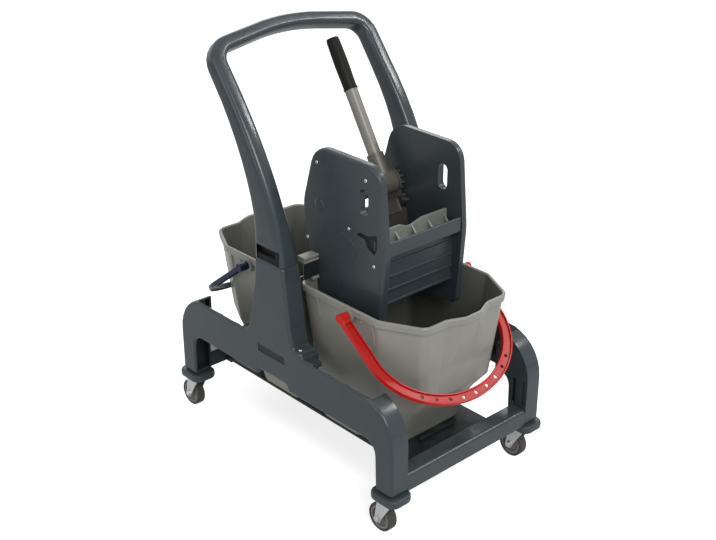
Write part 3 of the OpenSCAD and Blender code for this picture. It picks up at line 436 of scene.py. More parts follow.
class ShaderGroups:
    """Shader node groups that several finishes share.

    Each pair of limits says where a mask starts and where it is full. Scales are in repeats per metre.
    """

    mottle_scale: float = 14.0
    bend_limits: Pair = (0.01, 0.14)
    rubbed: Patches = Patches(60.0, 6.0, (0.42, 0.62))
    level_limits: Pair = (0.55, 0.98)
    settled: Patches = Patches(22.0, 6.0, (0.30, 0.72))
    closed_limits: Pair = (0.08, 0.95)
    scratch_turn: Point = (0.4, 0.9, 0.3)
    scratch_scale: Point = (420.0, 14.0, 38.0)
    scratch_limits: Pair = (0.64, 0.74)
    scuffed: Patches = Patches(9.0, 4.0, (0.48, 0.66))

    def __init__(self) -> None:
        """Builds each group once."""
        self.grain = self._grain()
        self.edges = self._edges()
        self.dust = self._dust()
        self.scuffs = self._scuffs()
        self.recess_shade = self._recess_shade_group()

    @staticmethod
    def _start(
        name: str, inputs: dict[str, float], outputs: tuple[str, ...]
    ) -> tuple[bpy.types.NodeTree, bpy.types.Node, bpy.types.Node]:
        """Starts a group with value inputs and value outputs.

        Args:
            name: The group's name.
            inputs: Each input's name and default value.
            outputs: The names of the outputs.

        Returns:
            The group with its input node and output node.
        """
        group = bpy.data.node_groups.new(name, "ShaderNodeTree")
        for key, value in inputs.items():
            socket = group.interface.new_socket(key, in_out="INPUT", socket_type="NodeSocketFloat")
            socket.default_value = value
        for key in outputs:
            group.interface.new_socket(key, in_out="OUTPUT", socket_type="NodeSocketFloat")
        return group, group.nodes.new("NodeGroupInput"), group.nodes.new("NodeGroupOutput")

    @staticmethod
    def _noise(group: bpy.types.NodeTree, scale: Signal, detail: float) -> bpy.types.Node:
        """Adds a noise on Object coordinates.

        Args:
            group: The tree to add it to.
            scale: A number, or the socket that gives the scale.
            detail: How many finer layers the noise has.

        Returns:
            The noise node.
        """
        place = group.nodes.new("ShaderNodeTexCoord")
        noise = group.nodes.new("ShaderNodeTexNoise")
        noise.inputs["Detail"].default_value = detail
        group.links.new(place.outputs["Object"], noise.inputs["Vector"])
        if isinstance(scale, (int, float)):
            noise.inputs["Scale"].default_value = scale
        else:
            group.links.new(scale, noise.inputs["Scale"])
        return noise

    @staticmethod
    def _math(group: bpy.types.NodeTree, operation: str, a: Signal, b: Signal) -> bpy.types.NodeSocket:
        """Adds a Math node.

        Args:
            group: The tree to add it to.
            operation: The operation's name.
            a: The first socket or number.
            b: The second socket or number.

        Returns:
            The output socket.
        """
        node = group.nodes.new("ShaderNodeMath")
        node.operation = operation
        for socket, value in zip(node.inputs, (a, b)):
            if isinstance(value, (int, float)):
                socket.default_value = value
            else:
                group.links.new(value, socket)
        return node.outputs[0]

    @staticmethod
    def _step(group: bpy.types.NodeTree, value: bpy.types.NodeSocket, limits: Pair) -> bpy.types.NodeSocket:
        """Adds a smooth step of a value between two limits.

        Args:
            group: The tree to add it to.
            value: The socket to read.
            limits: Where the step starts and where it ends.

        Returns:
            The output socket, from 0 to 1.
        """
        node = group.nodes.new("ShaderNodeMapRange")
        node.interpolation_type = "SMOOTHSTEP"
        node.inputs["From Min"].default_value, node.inputs["From Max"].default_value = limits
        group.links.new(value, node.inputs["Value"])
        return node.outputs["Result"]

    def _patches(self, group: bpy.types.NodeTree, patches: Patches) -> bpy.types.NodeSocket:
        """Adds a mask of uneven patches.

        Args:
            group: The tree to add it to.
            patches: How large the patches are and how they fade in.

        Returns:
            The output socket, from 0 to 1.
        """
        noise = self._noise(group, patches.scale, patches.detail)
        return self._step(group, noise.outputs["Fac"], patches.limits)

    def _put_out(
        self, start: bpy.types.Node, end: bpy.types.Node, *masks: bpy.types.NodeSocket
    ) -> bpy.types.NodeTree:
        """Puts out the product of some masks and the group's Amount as its Mask.

        Args:
            start: The group's input node.
            end: The group's output node.
            masks: The masks to multiply.

        Returns:
            The finished group.
        """
        group = end.id_data
        mask = masks[0]
        for other in (*masks[1:], start.outputs["Amount"]):
            mask = self._math(group, "MULTIPLY", mask, other)
        group.links.new(mask, end.inputs["Mask"])
        return group

    def _grain(self) -> bpy.types.NodeTree:
        """Builds the fine grain of a moulded surface, with broad mottling.

        Returns:
            The group, which puts out Height and Mottle.
        """
        group, start, end = self._start("mould_grain", {"Scale": 900.0}, ("Height", "Mottle"))
        fine = self._noise(group, start.outputs["Scale"], detail=2.0)
        broad = self._noise(group, self.mottle_scale, detail=5.0)
        group.links.new(fine.outputs["Fac"], end.inputs["Height"])
        group.links.new(broad.outputs["Fac"], end.inputs["Mottle"])
        return group

    def _edges(self) -> bpy.types.NodeTree:
        """Builds a broken mask along the outer edges, where a surface gets rubbed.

        Returns:
            The group, which puts out Mask.
        """
        group, start, end = self._start("rubbed_edges", {"Radius": 0.003, "Amount": 0.5}, ("Mask",))
        bevel = group.nodes.new("ShaderNodeBevel")
        bevel.samples = 4
        group.links.new(start.outputs["Radius"], bevel.inputs["Radius"])
        geometry = group.nodes.new("ShaderNodeNewGeometry")
        dot = group.nodes.new("ShaderNodeVectorMath")
        dot.operation = "DOT_PRODUCT"
        group.links.new(bevel.outputs["Normal"], dot.inputs[0])
        group.links.new(geometry.outputs["Normal"], dot.inputs[1])
        bend = self._math(group, "SUBTRACT", 1.0, dot.outputs["Value"])
        bent = self._step(group, bend, self.bend_limits)
        return self._put_out(start, end, bent, self._patches(group, self.rubbed))

    def _dust(self) -> bpy.types.NodeTree:
        """Builds a mask of the dust that settles on level tops.

        Returns:
            The group, which puts out Mask.
        """
        group, start, end = self._start("settled_dust", {"Amount": 0.2}, ("Mask",))
        geometry = group.nodes.new("ShaderNodeNewGeometry")
        split = group.nodes.new("ShaderNodeSeparateXYZ")
        group.links.new(geometry.outputs["Normal"], split.inputs[0])
        level = self._step(group, split.outputs["Z"], self.level_limits)
        return self._put_out(start, end, level, self._patches(group, self.settled))

    def _recess_shade_group(self) -> bpy.types.NodeTree:
        """Builds a mask of painted shade in the deep places of a piece, which little light reaches.

        Returns:
            The group, which puts out Mask.
        """
        group, start, end = self._start("painted_recess_shade", {"Reach": 0.2, "Amount": 0.4}, ("Mask",))
        # Painted shade: the more a place is closed in by its own piece, the darker it is painted.
        open_share = group.nodes.new("ShaderNodeAmbientOcclusion")
        open_share.samples = 6
        open_share.only_local = True
        group.links.new(start.outputs["Reach"], open_share.inputs["Distance"])
        closed = self._math(group, "SUBTRACT", 1.0, open_share.outputs["AO"])
        return self._put_out(start, end, self._step(group, closed, self.closed_limits))

    def _scuffs(self) -> bpy.types.NodeTree:
        """Builds a mask of thin scratches in rubbed patches.

        Returns:
            The group, which puts out Mask.
        """
        group, start, end = self._start("fine_scuffs", {"Amount": 0.3}, ("Mask",))
        place = group.nodes.new("ShaderNodeTexCoord")
        turn = group.nodes.new("ShaderNodeMapping")
        turn.inputs["Rotation"].default_value = self.scratch_turn
        turn.inputs["Scale"].default_value = self.scratch_scale
        lines = group.nodes.new("ShaderNodeTexNoise")
        lines.inputs["Scale"].default_value = 1.0
        lines.inputs["Detail"].default_value = 3.0
        group.links.new(place.outputs["Object"], turn.inputs["Vector"])
        group.links.new(turn.outputs["Vector"], lines.inputs["Vector"])
        thin = self._step(group, lines.outputs["Fac"], self.scratch_limits)
        return self._put_out(start, end, thin, self._patches(group, self.scuffed))


@dataclass(frozen=True)
class Finish:
    """One surface finish: its colour, gloss, grain and signs of use.

    A worn place has the colour times wear_lift plus worn_base, up to worn_limit, and a deep recess gets
    painted shade, the colour times its shaded share. The gloss swings with the mottling over mottle_span.
    """

    name: str
    colour: Colour
    roughness: float
    metallic: float = 0.0
    specular: float = 0.5
    grain_scale: float = 900.0
    grain_depth: float = 0.08
    grain_height: float = 1.0 * MM
    mottle: float = 0.12
    mottle_span: Pair = (0.3, 0.7)
    gloss_swing: Pair = (-0.05, 0.06)
    wear: float = 0.3
    wear_lift: float = 1.7
    worn_base: float = 0.02
    worn_limit: float = 0.9
    dust: float = 0.15
    dust_rough: float = 0.35
    dust_colour: Colour = (0.42, 0.41, 0.38)
    scuffs: float = 0.3
    # The recess fields paint shade into the deep places of a piece.
    recess: float = 0.3
    shade_reach: float = 0.06
    shade_share: float = 0.12

    def material(self, groups: ShaderGroups) -> bpy.types.Material:
        """Builds the node material of this finish.

        Args:
            groups: The shared shader groups.

        Returns:
            The material.
        """
        material = bpy.data.materials.new(self.name)
        material.use_nodes = True
        tree = material.node_tree
        shader = tree.nodes["Principled BSDF"]
        shader.inputs["Metallic"].default_value = self.metallic
        shader.inputs["Specular IOR Level"].default_value = self.specular
        grain = self._group(tree, groups.grain, Scale=self.grain_scale)
        dust = self._group(tree, groups.dust, Amount=self.dust)
        tree.links.new(self._colour(tree, groups, grain, dust), shader.inputs["Base Color"])
        tree.links.new(self._rough(tree, grain, dust), shader.inputs["Roughness"])
        bump = tree.nodes.new("ShaderNodeBump")
        bump.inputs["Strength"].default_value = self.grain_depth
        bump.inputs["Distance"].default_value = self.grain_height
        tree.links.new(grain.outputs["Height"], bump.inputs["Height"])
        tree.links.new(bump.outputs["Normal"], shader.inputs["Normal"])
        return material

    def _colour(
        self, tree: bpy.types.NodeTree, groups: ShaderGroups, grain: bpy.types.Node, dust: bpy.types.Node
    ) -> bpy.types.NodeSocket:
        """Adds the mottled colour with scuffs, rubbed edges, dust and painted shade in deep recesses.

        Args:
            tree: The material's tree.
            groups: The shared shader groups.
            grain: The placed grain group.
            dust: The placed dust group.

        Returns:
            The colour's socket.
        """
        scuffs = self._group(tree, groups.scuffs, Amount=self.scuffs)
        edges = self._group(tree, groups.edges, Amount=self.wear)
        # Painted shade: the recess mask mixes the colour towards deep, a darker share of it.
        recess_shade = self._group(tree, groups.recess_shade, Reach=self.shade_reach, Amount=self.recess)
        dark, light, deep = (
            tuple(c * share for c in self.colour)
            for share in (1.0 - self.mottle, 1.0 + self.mottle, self.shade_share)
        )
        worn = tuple(min(self.worn_limit, c * self.wear_lift + self.worn_base) for c in self.colour)
        colour = self._mix(tree, grain.outputs["Mottle"], dark, light)
        for mask, tone in ((scuffs, worn), (edges, worn), (dust, self.dust_colour), (recess_shade, deep)):
            colour = self._mix(tree, mask.outputs["Mask"], colour, tone)
        return colour

    def _rough(
        self, tree: bpy.types.NodeTree, grain: bpy.types.Node, dust: bpy.types.Node
    ) -> bpy.types.NodeSocket:
        """Adds the roughness, which swings with the mottling and rises under dust.

        Args:
            tree: The material's tree.
            grain: The placed grain group.
            dust: The placed dust group.

        Returns:
            The roughness' socket.
        """
        gloss = tree.nodes.new("ShaderNodeMapRange")
        for end, at, swing in zip(("Min", "Max"), self.mottle_span, self.gloss_swing):
            gloss.inputs[f"From {end}"].default_value = at
            gloss.inputs[f"To {end}"].default_value = self.roughness + swing
        tree.links.new(grain.outputs["Mottle"], gloss.inputs["Value"])
        rough = tree.nodes.new("ShaderNodeMath")
        rough.operation = "MULTIPLY_ADD"
        rough.inputs[1].default_value = self.dust_rough
        tree.links.new(dust.outputs["Mask"], rough.inputs[0])
        tree.links.new(gloss.outputs["Result"], rough.inputs[2])
        return rough.outputs[0]

    @staticmethod
    def _group(tree: bpy.types.NodeTree, group: bpy.types.NodeTree, **values: float) -> bpy.types.Node:
        """Places a shared group with its own values.

        Args:
            tree: The material's tree.
            group: The group to place.
            values: Values for its inputs.

        Returns:
            The group node.
        """
        node = tree.nodes.new("ShaderNodeGroup")
        node.node_tree = group
        for key, value in values.items():
            node.inputs[key].default_value = value
        return node

    @staticmethod
    def _mix(
        tree: bpy.types.NodeTree, mask: bpy.types.NodeSocket, low: Tone, high: Tone
    ) -> bpy.types.NodeSocket:
        """Mixes two colours by a mask.

        Args:
            tree: The material's tree.
            mask: The socket that gives the share of the second colour.
            low: The first colour, or the socket that gives it.
            high: The second colour, or the socket that gives it.

        Returns:
            The mixed colour's socket.
        """
        mix = tree.nodes.new("ShaderNodeMix")
        mix.data_type = "RGBA"
        tree.links.new(mask, mix.inputs["Factor"])
        # Inputs 6 and 7 are the node's two colours, and output 2 is the mixed colour.
        for socket, value in ((mix.inputs[6], low), (mix.inputs[7], high)):
            if isinstance(value, tuple):
                socket.default_value = (*value, 1.0)
            else:
                tree.links.new(value, socket)
        return mix.outputs[2]


class Coat(Enum):
    """The finishes of the trolley."""

    FRAME = Finish(
        "frame_plastic", (0.036, 0.049, 0.055), 0.21,
        specular=0.34, grain_scale=1500.0, wear=0.12, dust=0.06,
    )
    WRINGER = Finish(
        "wringer_plastic", (0.037, 0.048, 0.054), 0.30,
        specular=0.32, grain_scale=1500.0, wear=0.15, dust=0.06,
    )
    # Dark tone of the tray, the bare rail panels and the cheek pockets' floors; in the leg wells and under
    # the hangers' lips it is painted shade.
    PANEL = Finish(
        "panel_plastic_and_painted_shade", (0.014, 0.017, 0.019), 0.42,
        specular=0.2, grain_scale=1500.0, wear=0.1, dust=0.05,
    )
    LATCH = Finish("latch_plastic", (0.006, 0.006, 0.007), 0.45, specular=0.12)
    # The bucket's recess values paint shade far down its inside.
    BUCKET = Finish(
        "bucket_plastic", (0.236, 0.238, 0.209), 0.34,
        grain_depth=0.05, mottle=0.07, wear=0.25, wear_lift=1.3, dust=0.08, recess=0.75, shade_reach=0.60,
    )
    # The red's recess values paint shade into the bail's groove.
    RED = Finish(
        "red_plastic", (0.50, 0.013, 0.010), 0.30, specular=0.16,
        grain_depth=0.04, wear=0.2, wear_lift=1.2, dust=0.05, recess=0.9, shade_reach=0.03,
    )
    NAVY = Finish("navy_plastic", (0.004, 0.009, 0.042), 0.32, specular=0.22, grain_depth=0.05, dust=0.04)
    PALE = Finish("pale_plastic", (0.218, 0.226, 0.202), 0.44, wear=0.3, wear_lift=1.25)
    # The brownish plastic of the shaft and the socket: its hue is its own, its darkness painted shade.
    SHADED_DRUM = Finish("drum_plastic_in_painted_shade", (0.100, 0.096, 0.079), 0.42, wear=0.3, dust=0.1)
    # The pale plastic of the jaw, its beam and the pinions, darkened as painted shade.
    SHADED_PALE = Finish("pale_plastic_in_painted_shade", (0.052, 0.049, 0.047), 0.42, specular=0.35, wear=0.25, dust=0.06)
    LEVER = Finish("lever_coat", (0.195, 0.188, 0.162), 0.34, grain_depth=0.05, wear=0.4, wear_lift=1.5)
    GRIP = Finish(
        "grip_rubber", (0.004, 0.004, 0.003), 0.5, specular=0.16, grain_depth=0.12, wear=0.15, dust=0.05
    )
    ZINC = Finish(
        "zinc_plate", (0.58, 0.59, 0.60), 0.30,
        metallic=1.0, grain_scale=500.0, mottle=0.18, wear=0.1, dust=0.1,
    )
    CORE = Finish("wheel_plastic", (0.205, 0.205, 0.198), 0.5)
    TYRE = Finish(
        "tyre_rubber", (0.046, 0.043, 0.040), 0.62,
        specular=0.35, grain_depth=0.25, wear=0.35, dust=0.3, scuffs=0.5,
    )


# A CAD node's name, with the finish, slot and edges of the copy that stands for it.
Moulding = tuple[str, Coat, str, Edge]


class Paintbox:
    """Hands out one material for each finish."""

    def __init__(self) -> None:
        """Builds the shared groups and all materials."""
        groups = ShaderGroups()
        self._materials = {coat: coat.value.material(groups) for coat in Coat}

    def paint(self, obj: bpy.types.Object, coat: Coat, slot: str) -> None:
        """Gives a piece its finish.

        Args:
            obj: The piece.
            coat: Its finish.
            slot: The record's material slot; it is not used.
        """
        obj.data.materials.clear()
        obj.data.materials.append(self._materials[coat])

    def second_tone(self, obj: bpy.types.Object, coat: Coat, test: Callable[[Vector], bool]) -> None:
        """Gives a second finish to the faces of a piece that pass a test.

        Args:
            obj: The painted piece.
            coat: The second finish.
            test: Takes a face's centre.
        """
        obj.data.materials.append(self._materials[coat])
        for face in obj.data.polygons:
            if test(face.center):
                face.material_index = 1


@dataclass
class SubAssembly:
    """A group of pieces that are built and dressed together."""

    paintbox: Paintbox

    def mould(
        self, node: str, coat: Coat, slot: str, edge: Edge = Edge(), cutter: bpy.types.Object | None = None
    ) -> bpy.types.Object:
        """Replaces a CAD node by a softened copy with a finish.

        Args:
            node: The CAD node.
            coat: The copy's finish.
            slot: The record's material slot.
            edge: How the copy's edges are softened.
            cutter: A shape to cut out of the copy first.

        Returns:
            The new piece.
        """
        obj = moulded_copy(node, f"{node}_finished", edge, cutter)
        self.paintbox.paint(obj, coat, slot)
        LOG.info("%s: %d faces", obj.name, len(obj.data.polygons))
        return obj

    def fit(self, obj: bpy.types.Object, carrier: str, coat: Coat, slot: str) -> None:
        """Rides a new piece on the body of the node that carries it and gives it a finish.

        Args:
            obj: The new piece.
            carrier: The CAD node that carries it.
            coat: Its finish.
            slot: The record's material slot.
        """
        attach(obj, frame["nodes"][carrier]["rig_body"])
        self.paintbox.paint(obj, coat, slot)
        LOG.info("%s: %d faces", obj.name, len(obj.data.polygons))


@dataclass
class Chassis(SubAssembly):
    """Side frames, push handle, cross bars, tray and bumpers."""

    frame_edge: Edge = Edge(0.7 * MM)
    handle_edge: Edge = Edge(0.8 * MM, smooth_angle=44.0, broad=4.5 * MM, broad_from=530.0 * MM)
    bar_edge: Edge = Edge(1.2 * MM, 3)
    tray_edge: Edge = Edge(1.0 * MM)
    bumper_edge: Edge = Edge(0.6 * MM, smooth_angle=50.0)
    bumper_share: float = 0.92
    bumper_bore: float = 20.0 * MM
    foot_screw: PanScrew = PanScrew(4.0 * MM, 3.0 * MM, 2.0 * MM, 1.0 * MM)
    foot_screw_turn: float = 25.0
    pad_x: float = -23.0 * MM
    pad_z: float = 512.0 * MM
    pad_half: Pair = (11.0 * MM, 4.5 * MM)
    pad_rise: float = 0.9 * MM
    pad_rounding: float = 0.72 * MM
    pad_border: float = 1.3 * MM
    pad_dip: float = 0.4 * MM
    rail_spans: tuple[Pair, Pair] = ((-274.0 * MM, -112.0 * MM), (112.0 * MM, 274.0 * MM))
    rail_slope_y: Pair = (209.0 * MM, 160.0 * MM)
    rail_slope_z: Pair = (250.0 * MM, 300.0 * MM)
    rail_wall_share: float = 0.2
    panel_low: Pair = (-62.0 * MM, 250.0 * MM)
    panel_high: Pair = (33.0 * MM, 275.0 * MM)
    panel_depth: Pair = (0.3 * MM, 2.5 * MM)
    # The leg wells are cut in, and their faces are painted in shade.
    leg_well_low: Point = (260.0 * MM, 173.0 * MM, 108.0 * MM)
    leg_well_high: Point = (303.0 * MM, 206.0 * MM, 214.0 * MM)
    leg_well_room: float = 0.2 * MM
    recess_room: float = 3.0 * MM
    recess_skin: float = 0.5 * MM

    def build(self) -> None:
        """Makes the chassis' pieces."""
        for side, way in (("left", -1), ("right", 1)):
            self._side_frame(side, way)
        self._handle()
        for end in ("front", "rear"):
            self.mould(f"{end}_cross_bar", Coat.FRAME, "frame_plastic", self.bar_edge)
        self.mould("bucket_tray", Coat.PANEL, "frame_plastic", self.tray_edge)
        self.mould("tray_bolts", Coat.ZINC, "zinc")
        for corner in CORNERS:
            self._bumper(corner)
        self._foot_screws()
        self._release_pads()

    def _side_frame(self, side: str, way: int) -> None:
        """Makes a side frame whose rail slopes down behind its outer wall, with leg wells in painted shade
        and a panel.

        Args:
            side: The frame's side.
            way: -1 for the left side and 1 for the right side.
        """
        outer, inner = (way * y for y in self.rail_slope_y)
        low, high = self.rail_slope_z
        cuts = []
        for start, end in self.rail_spans:
            wedge = block("rail_wedge", (start, outer, low), (end, inner, high))
            pick(wedge, lambda centre, normal: way * normal.y > FACING)
            bpy.ops.transform.resize(
                value=(1.0, 1.0, self.rail_wall_share), center_override=((start + end) / 2, outer, high)
            )
            cuts.append(wedge)
        for end in (-1, 1):
            corners = ((end * x, way * y, z) for x, y, z in (self.leg_well_low, self.leg_well_high))
            cuts.append(block("leg_well", *corners))
        node = f"side_frame_{side}"
        obj = self.mould(node, Coat.FRAME, "frame_plastic", self.frame_edge, join("frame_cuts", cuts))
        face = max(abs(corner.y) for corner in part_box(node))
        # The wells' faces take the dark tone as painted shade.
        self.paintbox.second_tone(obj, Coat.PANEL, lambda centre: self._in_panel_or_shaded_well(centre, face))

    def _in_panel_or_shaded_well(self, centre: Vector, face: float) -> bool:
        """Tells whether a face of a side frame lies in its bare panel or in a leg's well, where the dark tone
        is painted shade.

        Args:
            centre: The face's centre.
            face: How far out the frame's outer face lies.

        Returns:
            True for a face in the panel or in a well.
        """
        (x0, z0), (x1, z1) = self.panel_low, self.panel_high
        shallow, deep = self.panel_depth
        in_panel = x0 < centre.x < x1 and z0 < centre.z < z1 and shallow < face - abs(centre.y) < deep
        place = (abs(centre.x), abs(centre.y), centre.z)
        room = self.leg_well_room
        in_shaded_well = all(
            low - room < value < high + room
            for value, low, high in zip(place, self.leg_well_low, self.leg_well_high)
        )
        return in_panel or in_shaded_well

    def _handle(self) -> None:
        """Makes the push handle and its latches, with the latches' recesses in a dark tone."""
        obj = self.mould("push_handle", Coat.FRAME, "frame_plastic", self.handle_edge)
        self.mould("handle_latches", Coat.LATCH, "latch_plastic")
        self.paintbox.second_tone(obj, Coat.LATCH, self._in_recess)

    def _in_recess(self, centre: Vector) -> bool:
        """Tells whether a face of the handle lies in the recess of a latch.

        Args:
            centre: The face's centre.

        Returns:
            True for a face in a recess.
        """
        low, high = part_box("handle_latches")
        room = self.recess_room
        inside = low.x - room < centre.x < high.x + room and low.z - room < centre.z < high.z + room
        return inside and abs(centre.y) < high.y - self.recess_skin

    def _bumper(self, corner: str) -> None:
        """Makes a corner bumper, drawn in round its bore.

        Args:
            corner: The leg that it sits under.
        """
        node = f"corner_bumper_{corner}"
        obj = self.mould(node, Coat.FRAME, "frame_plastic", self.bumper_edge)
        low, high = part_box(node)
        middle = (low + high) / 2
        pick(obj, lambda centre, normal: (centre - middle).xy.length > self.bumper_bore)
        bpy.ops.transform.resize(value=(self.bumper_share, self.bumper_share, 1.0), center_override=middle)
        bpy.ops.object.mode_set(mode="OBJECT")

    def _foot_screws(self) -> None:
        """Models the screws on the steps at the columns' feet."""
        low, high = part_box("column_screws")
        x = (low.x + high.x) / 2
        y = high.y - self.foot_screw.head_r
        model = self.foot_screw.model()
        turn = (0, 0, self.foot_screw_turn)
        screws = [placed_copy(model, (x, side * y, low.z), turn) for side in (-1, 1)]
        bpy.data.objects.remove(model)
        obj = join("column_screws_finished", screws)
        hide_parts("column_screws")
        self.fit(obj, "column_screws", Coat.ZINC, "zinc")

    def _release_pads(self) -> None:
        """Models the low oval pads over the latches, where the handle is pressed free."""
        model = disc("release_pad", 1.0, 2 * self.pad_rise, ROUND_SIDES)
        model.scale = (*self.pad_half, 1.0)
        settle(model)
        pick(model, points_up)
        bpy.ops.mesh.bevel(offset=self.pad_rounding, segments=3, profile=0.5, affect="EDGES")
        pick(model, points_up)
        bpy.ops.mesh.inset(thickness=self.pad_border, depth=-self.pad_dip)
        shade(model)
        pads = []
        for side in (-1, 1):
            y = outer_face("push_handle", self.pad_x, self.pad_z, side) - side * self.pad_rise
            pads.append(placed_copy(model, (self.pad_x, y, self.pad_z), (-QUARTER_TURN * side, 0, 0)))
        bpy.data.objects.remove(model)
        self.fit(join("handle_release_pads", pads), "push_handle", Coat.FRAME, "frame_plastic")


@dataclass
class Castors(SubAssembly):
    """The swivel castors under the legs."""

    mouldings: tuple[Moulding, ...] = (
        ("castor_stem", Coat.ZINC, "zinc", Edge(0.4 * MM)),
        ("castor_fork", Coat.ZINC, "zinc", Edge(0.5 * MM)),
        ("castor_axle", Coat.ZINC, "zinc", Edge(0.5 * MM)),
        ("wheel_core", Coat.CORE, "wheel_plastic", Edge(0.5 * MM)),
        ("tyre", Coat.TYRE, "tyre_rubber", Edge(0.4 * MM)),
    )

    def build(self) -> None:
        """Makes each castor's pieces."""
        for corner in CORNERS:
            for name, coat, slot, edge in self.mouldings:
                self.mould(f"{name}_{corner}", coat, slot, edge)


@dataclass
class Buckets(SubAssembly):
    """The two buckets and their bails. Ribs and stops are modelled on the front bucket's left wall."""

    ends: tuple[tuple[str, int, Coat, str], ...] = (
        ("front", 1, Coat.RED, "red_plastic"),
        ("rear", -1, Coat.NAVY, "navy_plastic"),
    )
    wall_edge: Edge = Edge(0.5 * MM, bevel_angle=40.0, smooth_angle=40.0)
    bail_edge: Edge = Edge(0.7 * MM)
    rib_places: Pair = (62.0 * MM, 217.5 * MM)
    rib_low: float = 356.0 * MM
    rib_top: float = 401.0 * MM
    rib_top_read: float = 399.0 * MM
    rib_half: float = 1.6 * MM
    rib_proud: float = 3.6 * MM
    rib_root: float = 0.8 * MM
    rib_foot_share: float = 0.35
    rib_rounding: float = 0.6 * MM
    stop_x: float = 185.0 * MM
    stop_z: float = 394.0 * MM
    stop_half: Pair = (5.0 * MM, 3.0 * MM)
    stop_proud: float = 3.4 * MM
    stop_taper: Pair = (0.6, 0.45)

    def build(self) -> None:
        """Makes the buckets, their wall ribs and the bails."""
        ribs = [self._rib(x) for x in self.rib_places] + [self._stop()]
        for end, way, coat, slot in self.ends:
            self.mould(f"bucket_{end}", Coat.BUCKET, "bucket_plastic", self.wall_edge)
            self.mould(f"bail_{end}", coat, slot, self.bail_edge)
            trim = [placed_copy(rib, size=(way, side, 1)) for rib in ribs for side in (1, -1)]
            for piece in trim:
                shade(piece)
            self.fit(join(f"bucket_{end}_wall_ribs", trim), f"bucket_{end}", Coat.BUCKET, "bucket_plastic")
        for rib in ribs:
            bpy.data.objects.remove(rib)

    def _rib(self, x: float) -> bpy.types.Object:
        """Models one short rib under the rim band.

        Args:
            x: The rib's place along the bucket.

        Returns:
            The rib, running out into the wall at its lower end.
        """
        top = outer_face("bucket_front", x, self.rib_top_read, -1)
        low = outer_face("bucket_front", x, self.rib_low, -1)
        rib = block(
            "wall_rib",
            (x - self.rib_half, top - self.rib_proud, self.rib_low),
            (x + self.rib_half, top + self.rib_root, self.rib_top),
        )
        pick(rib, points_down)
        bpy.ops.transform.translate(value=(0, low - top, 0))
        root = (x, low + self.rib_root, self.rib_low)
        bpy.ops.transform.resize(value=(1.0, self.rib_foot_share, 1.0), center_override=root)
        soften(rib, self.rib_rounding)
        return rib

    def _stop(self) -> bpy.types.Object:
        """Models the small stop beside the bail's pivot.

        Returns:
            The stop, narrower towards its outer face.
        """
        wall = outer_face("bucket_front", self.stop_x, self.stop_z, -1)
        half_x, half_z = self.stop_half
        top = self.stop_z + half_z
        stop = block(
            "bail_stop",
            (self.stop_x - half_x, wall - self.stop_proud, self.stop_z - half_z),
            (self.stop_x + half_x, wall + self.rib_root, top),
        )
        pick(stop, lambda centre, normal: normal.y < -FACING)
        along, up = self.stop_taper
        bpy.ops.transform.resize(value=(along, 1.0, up), center_override=(self.stop_x, wall, top))
        soften(stop, self.rib_rounding)
        return stop


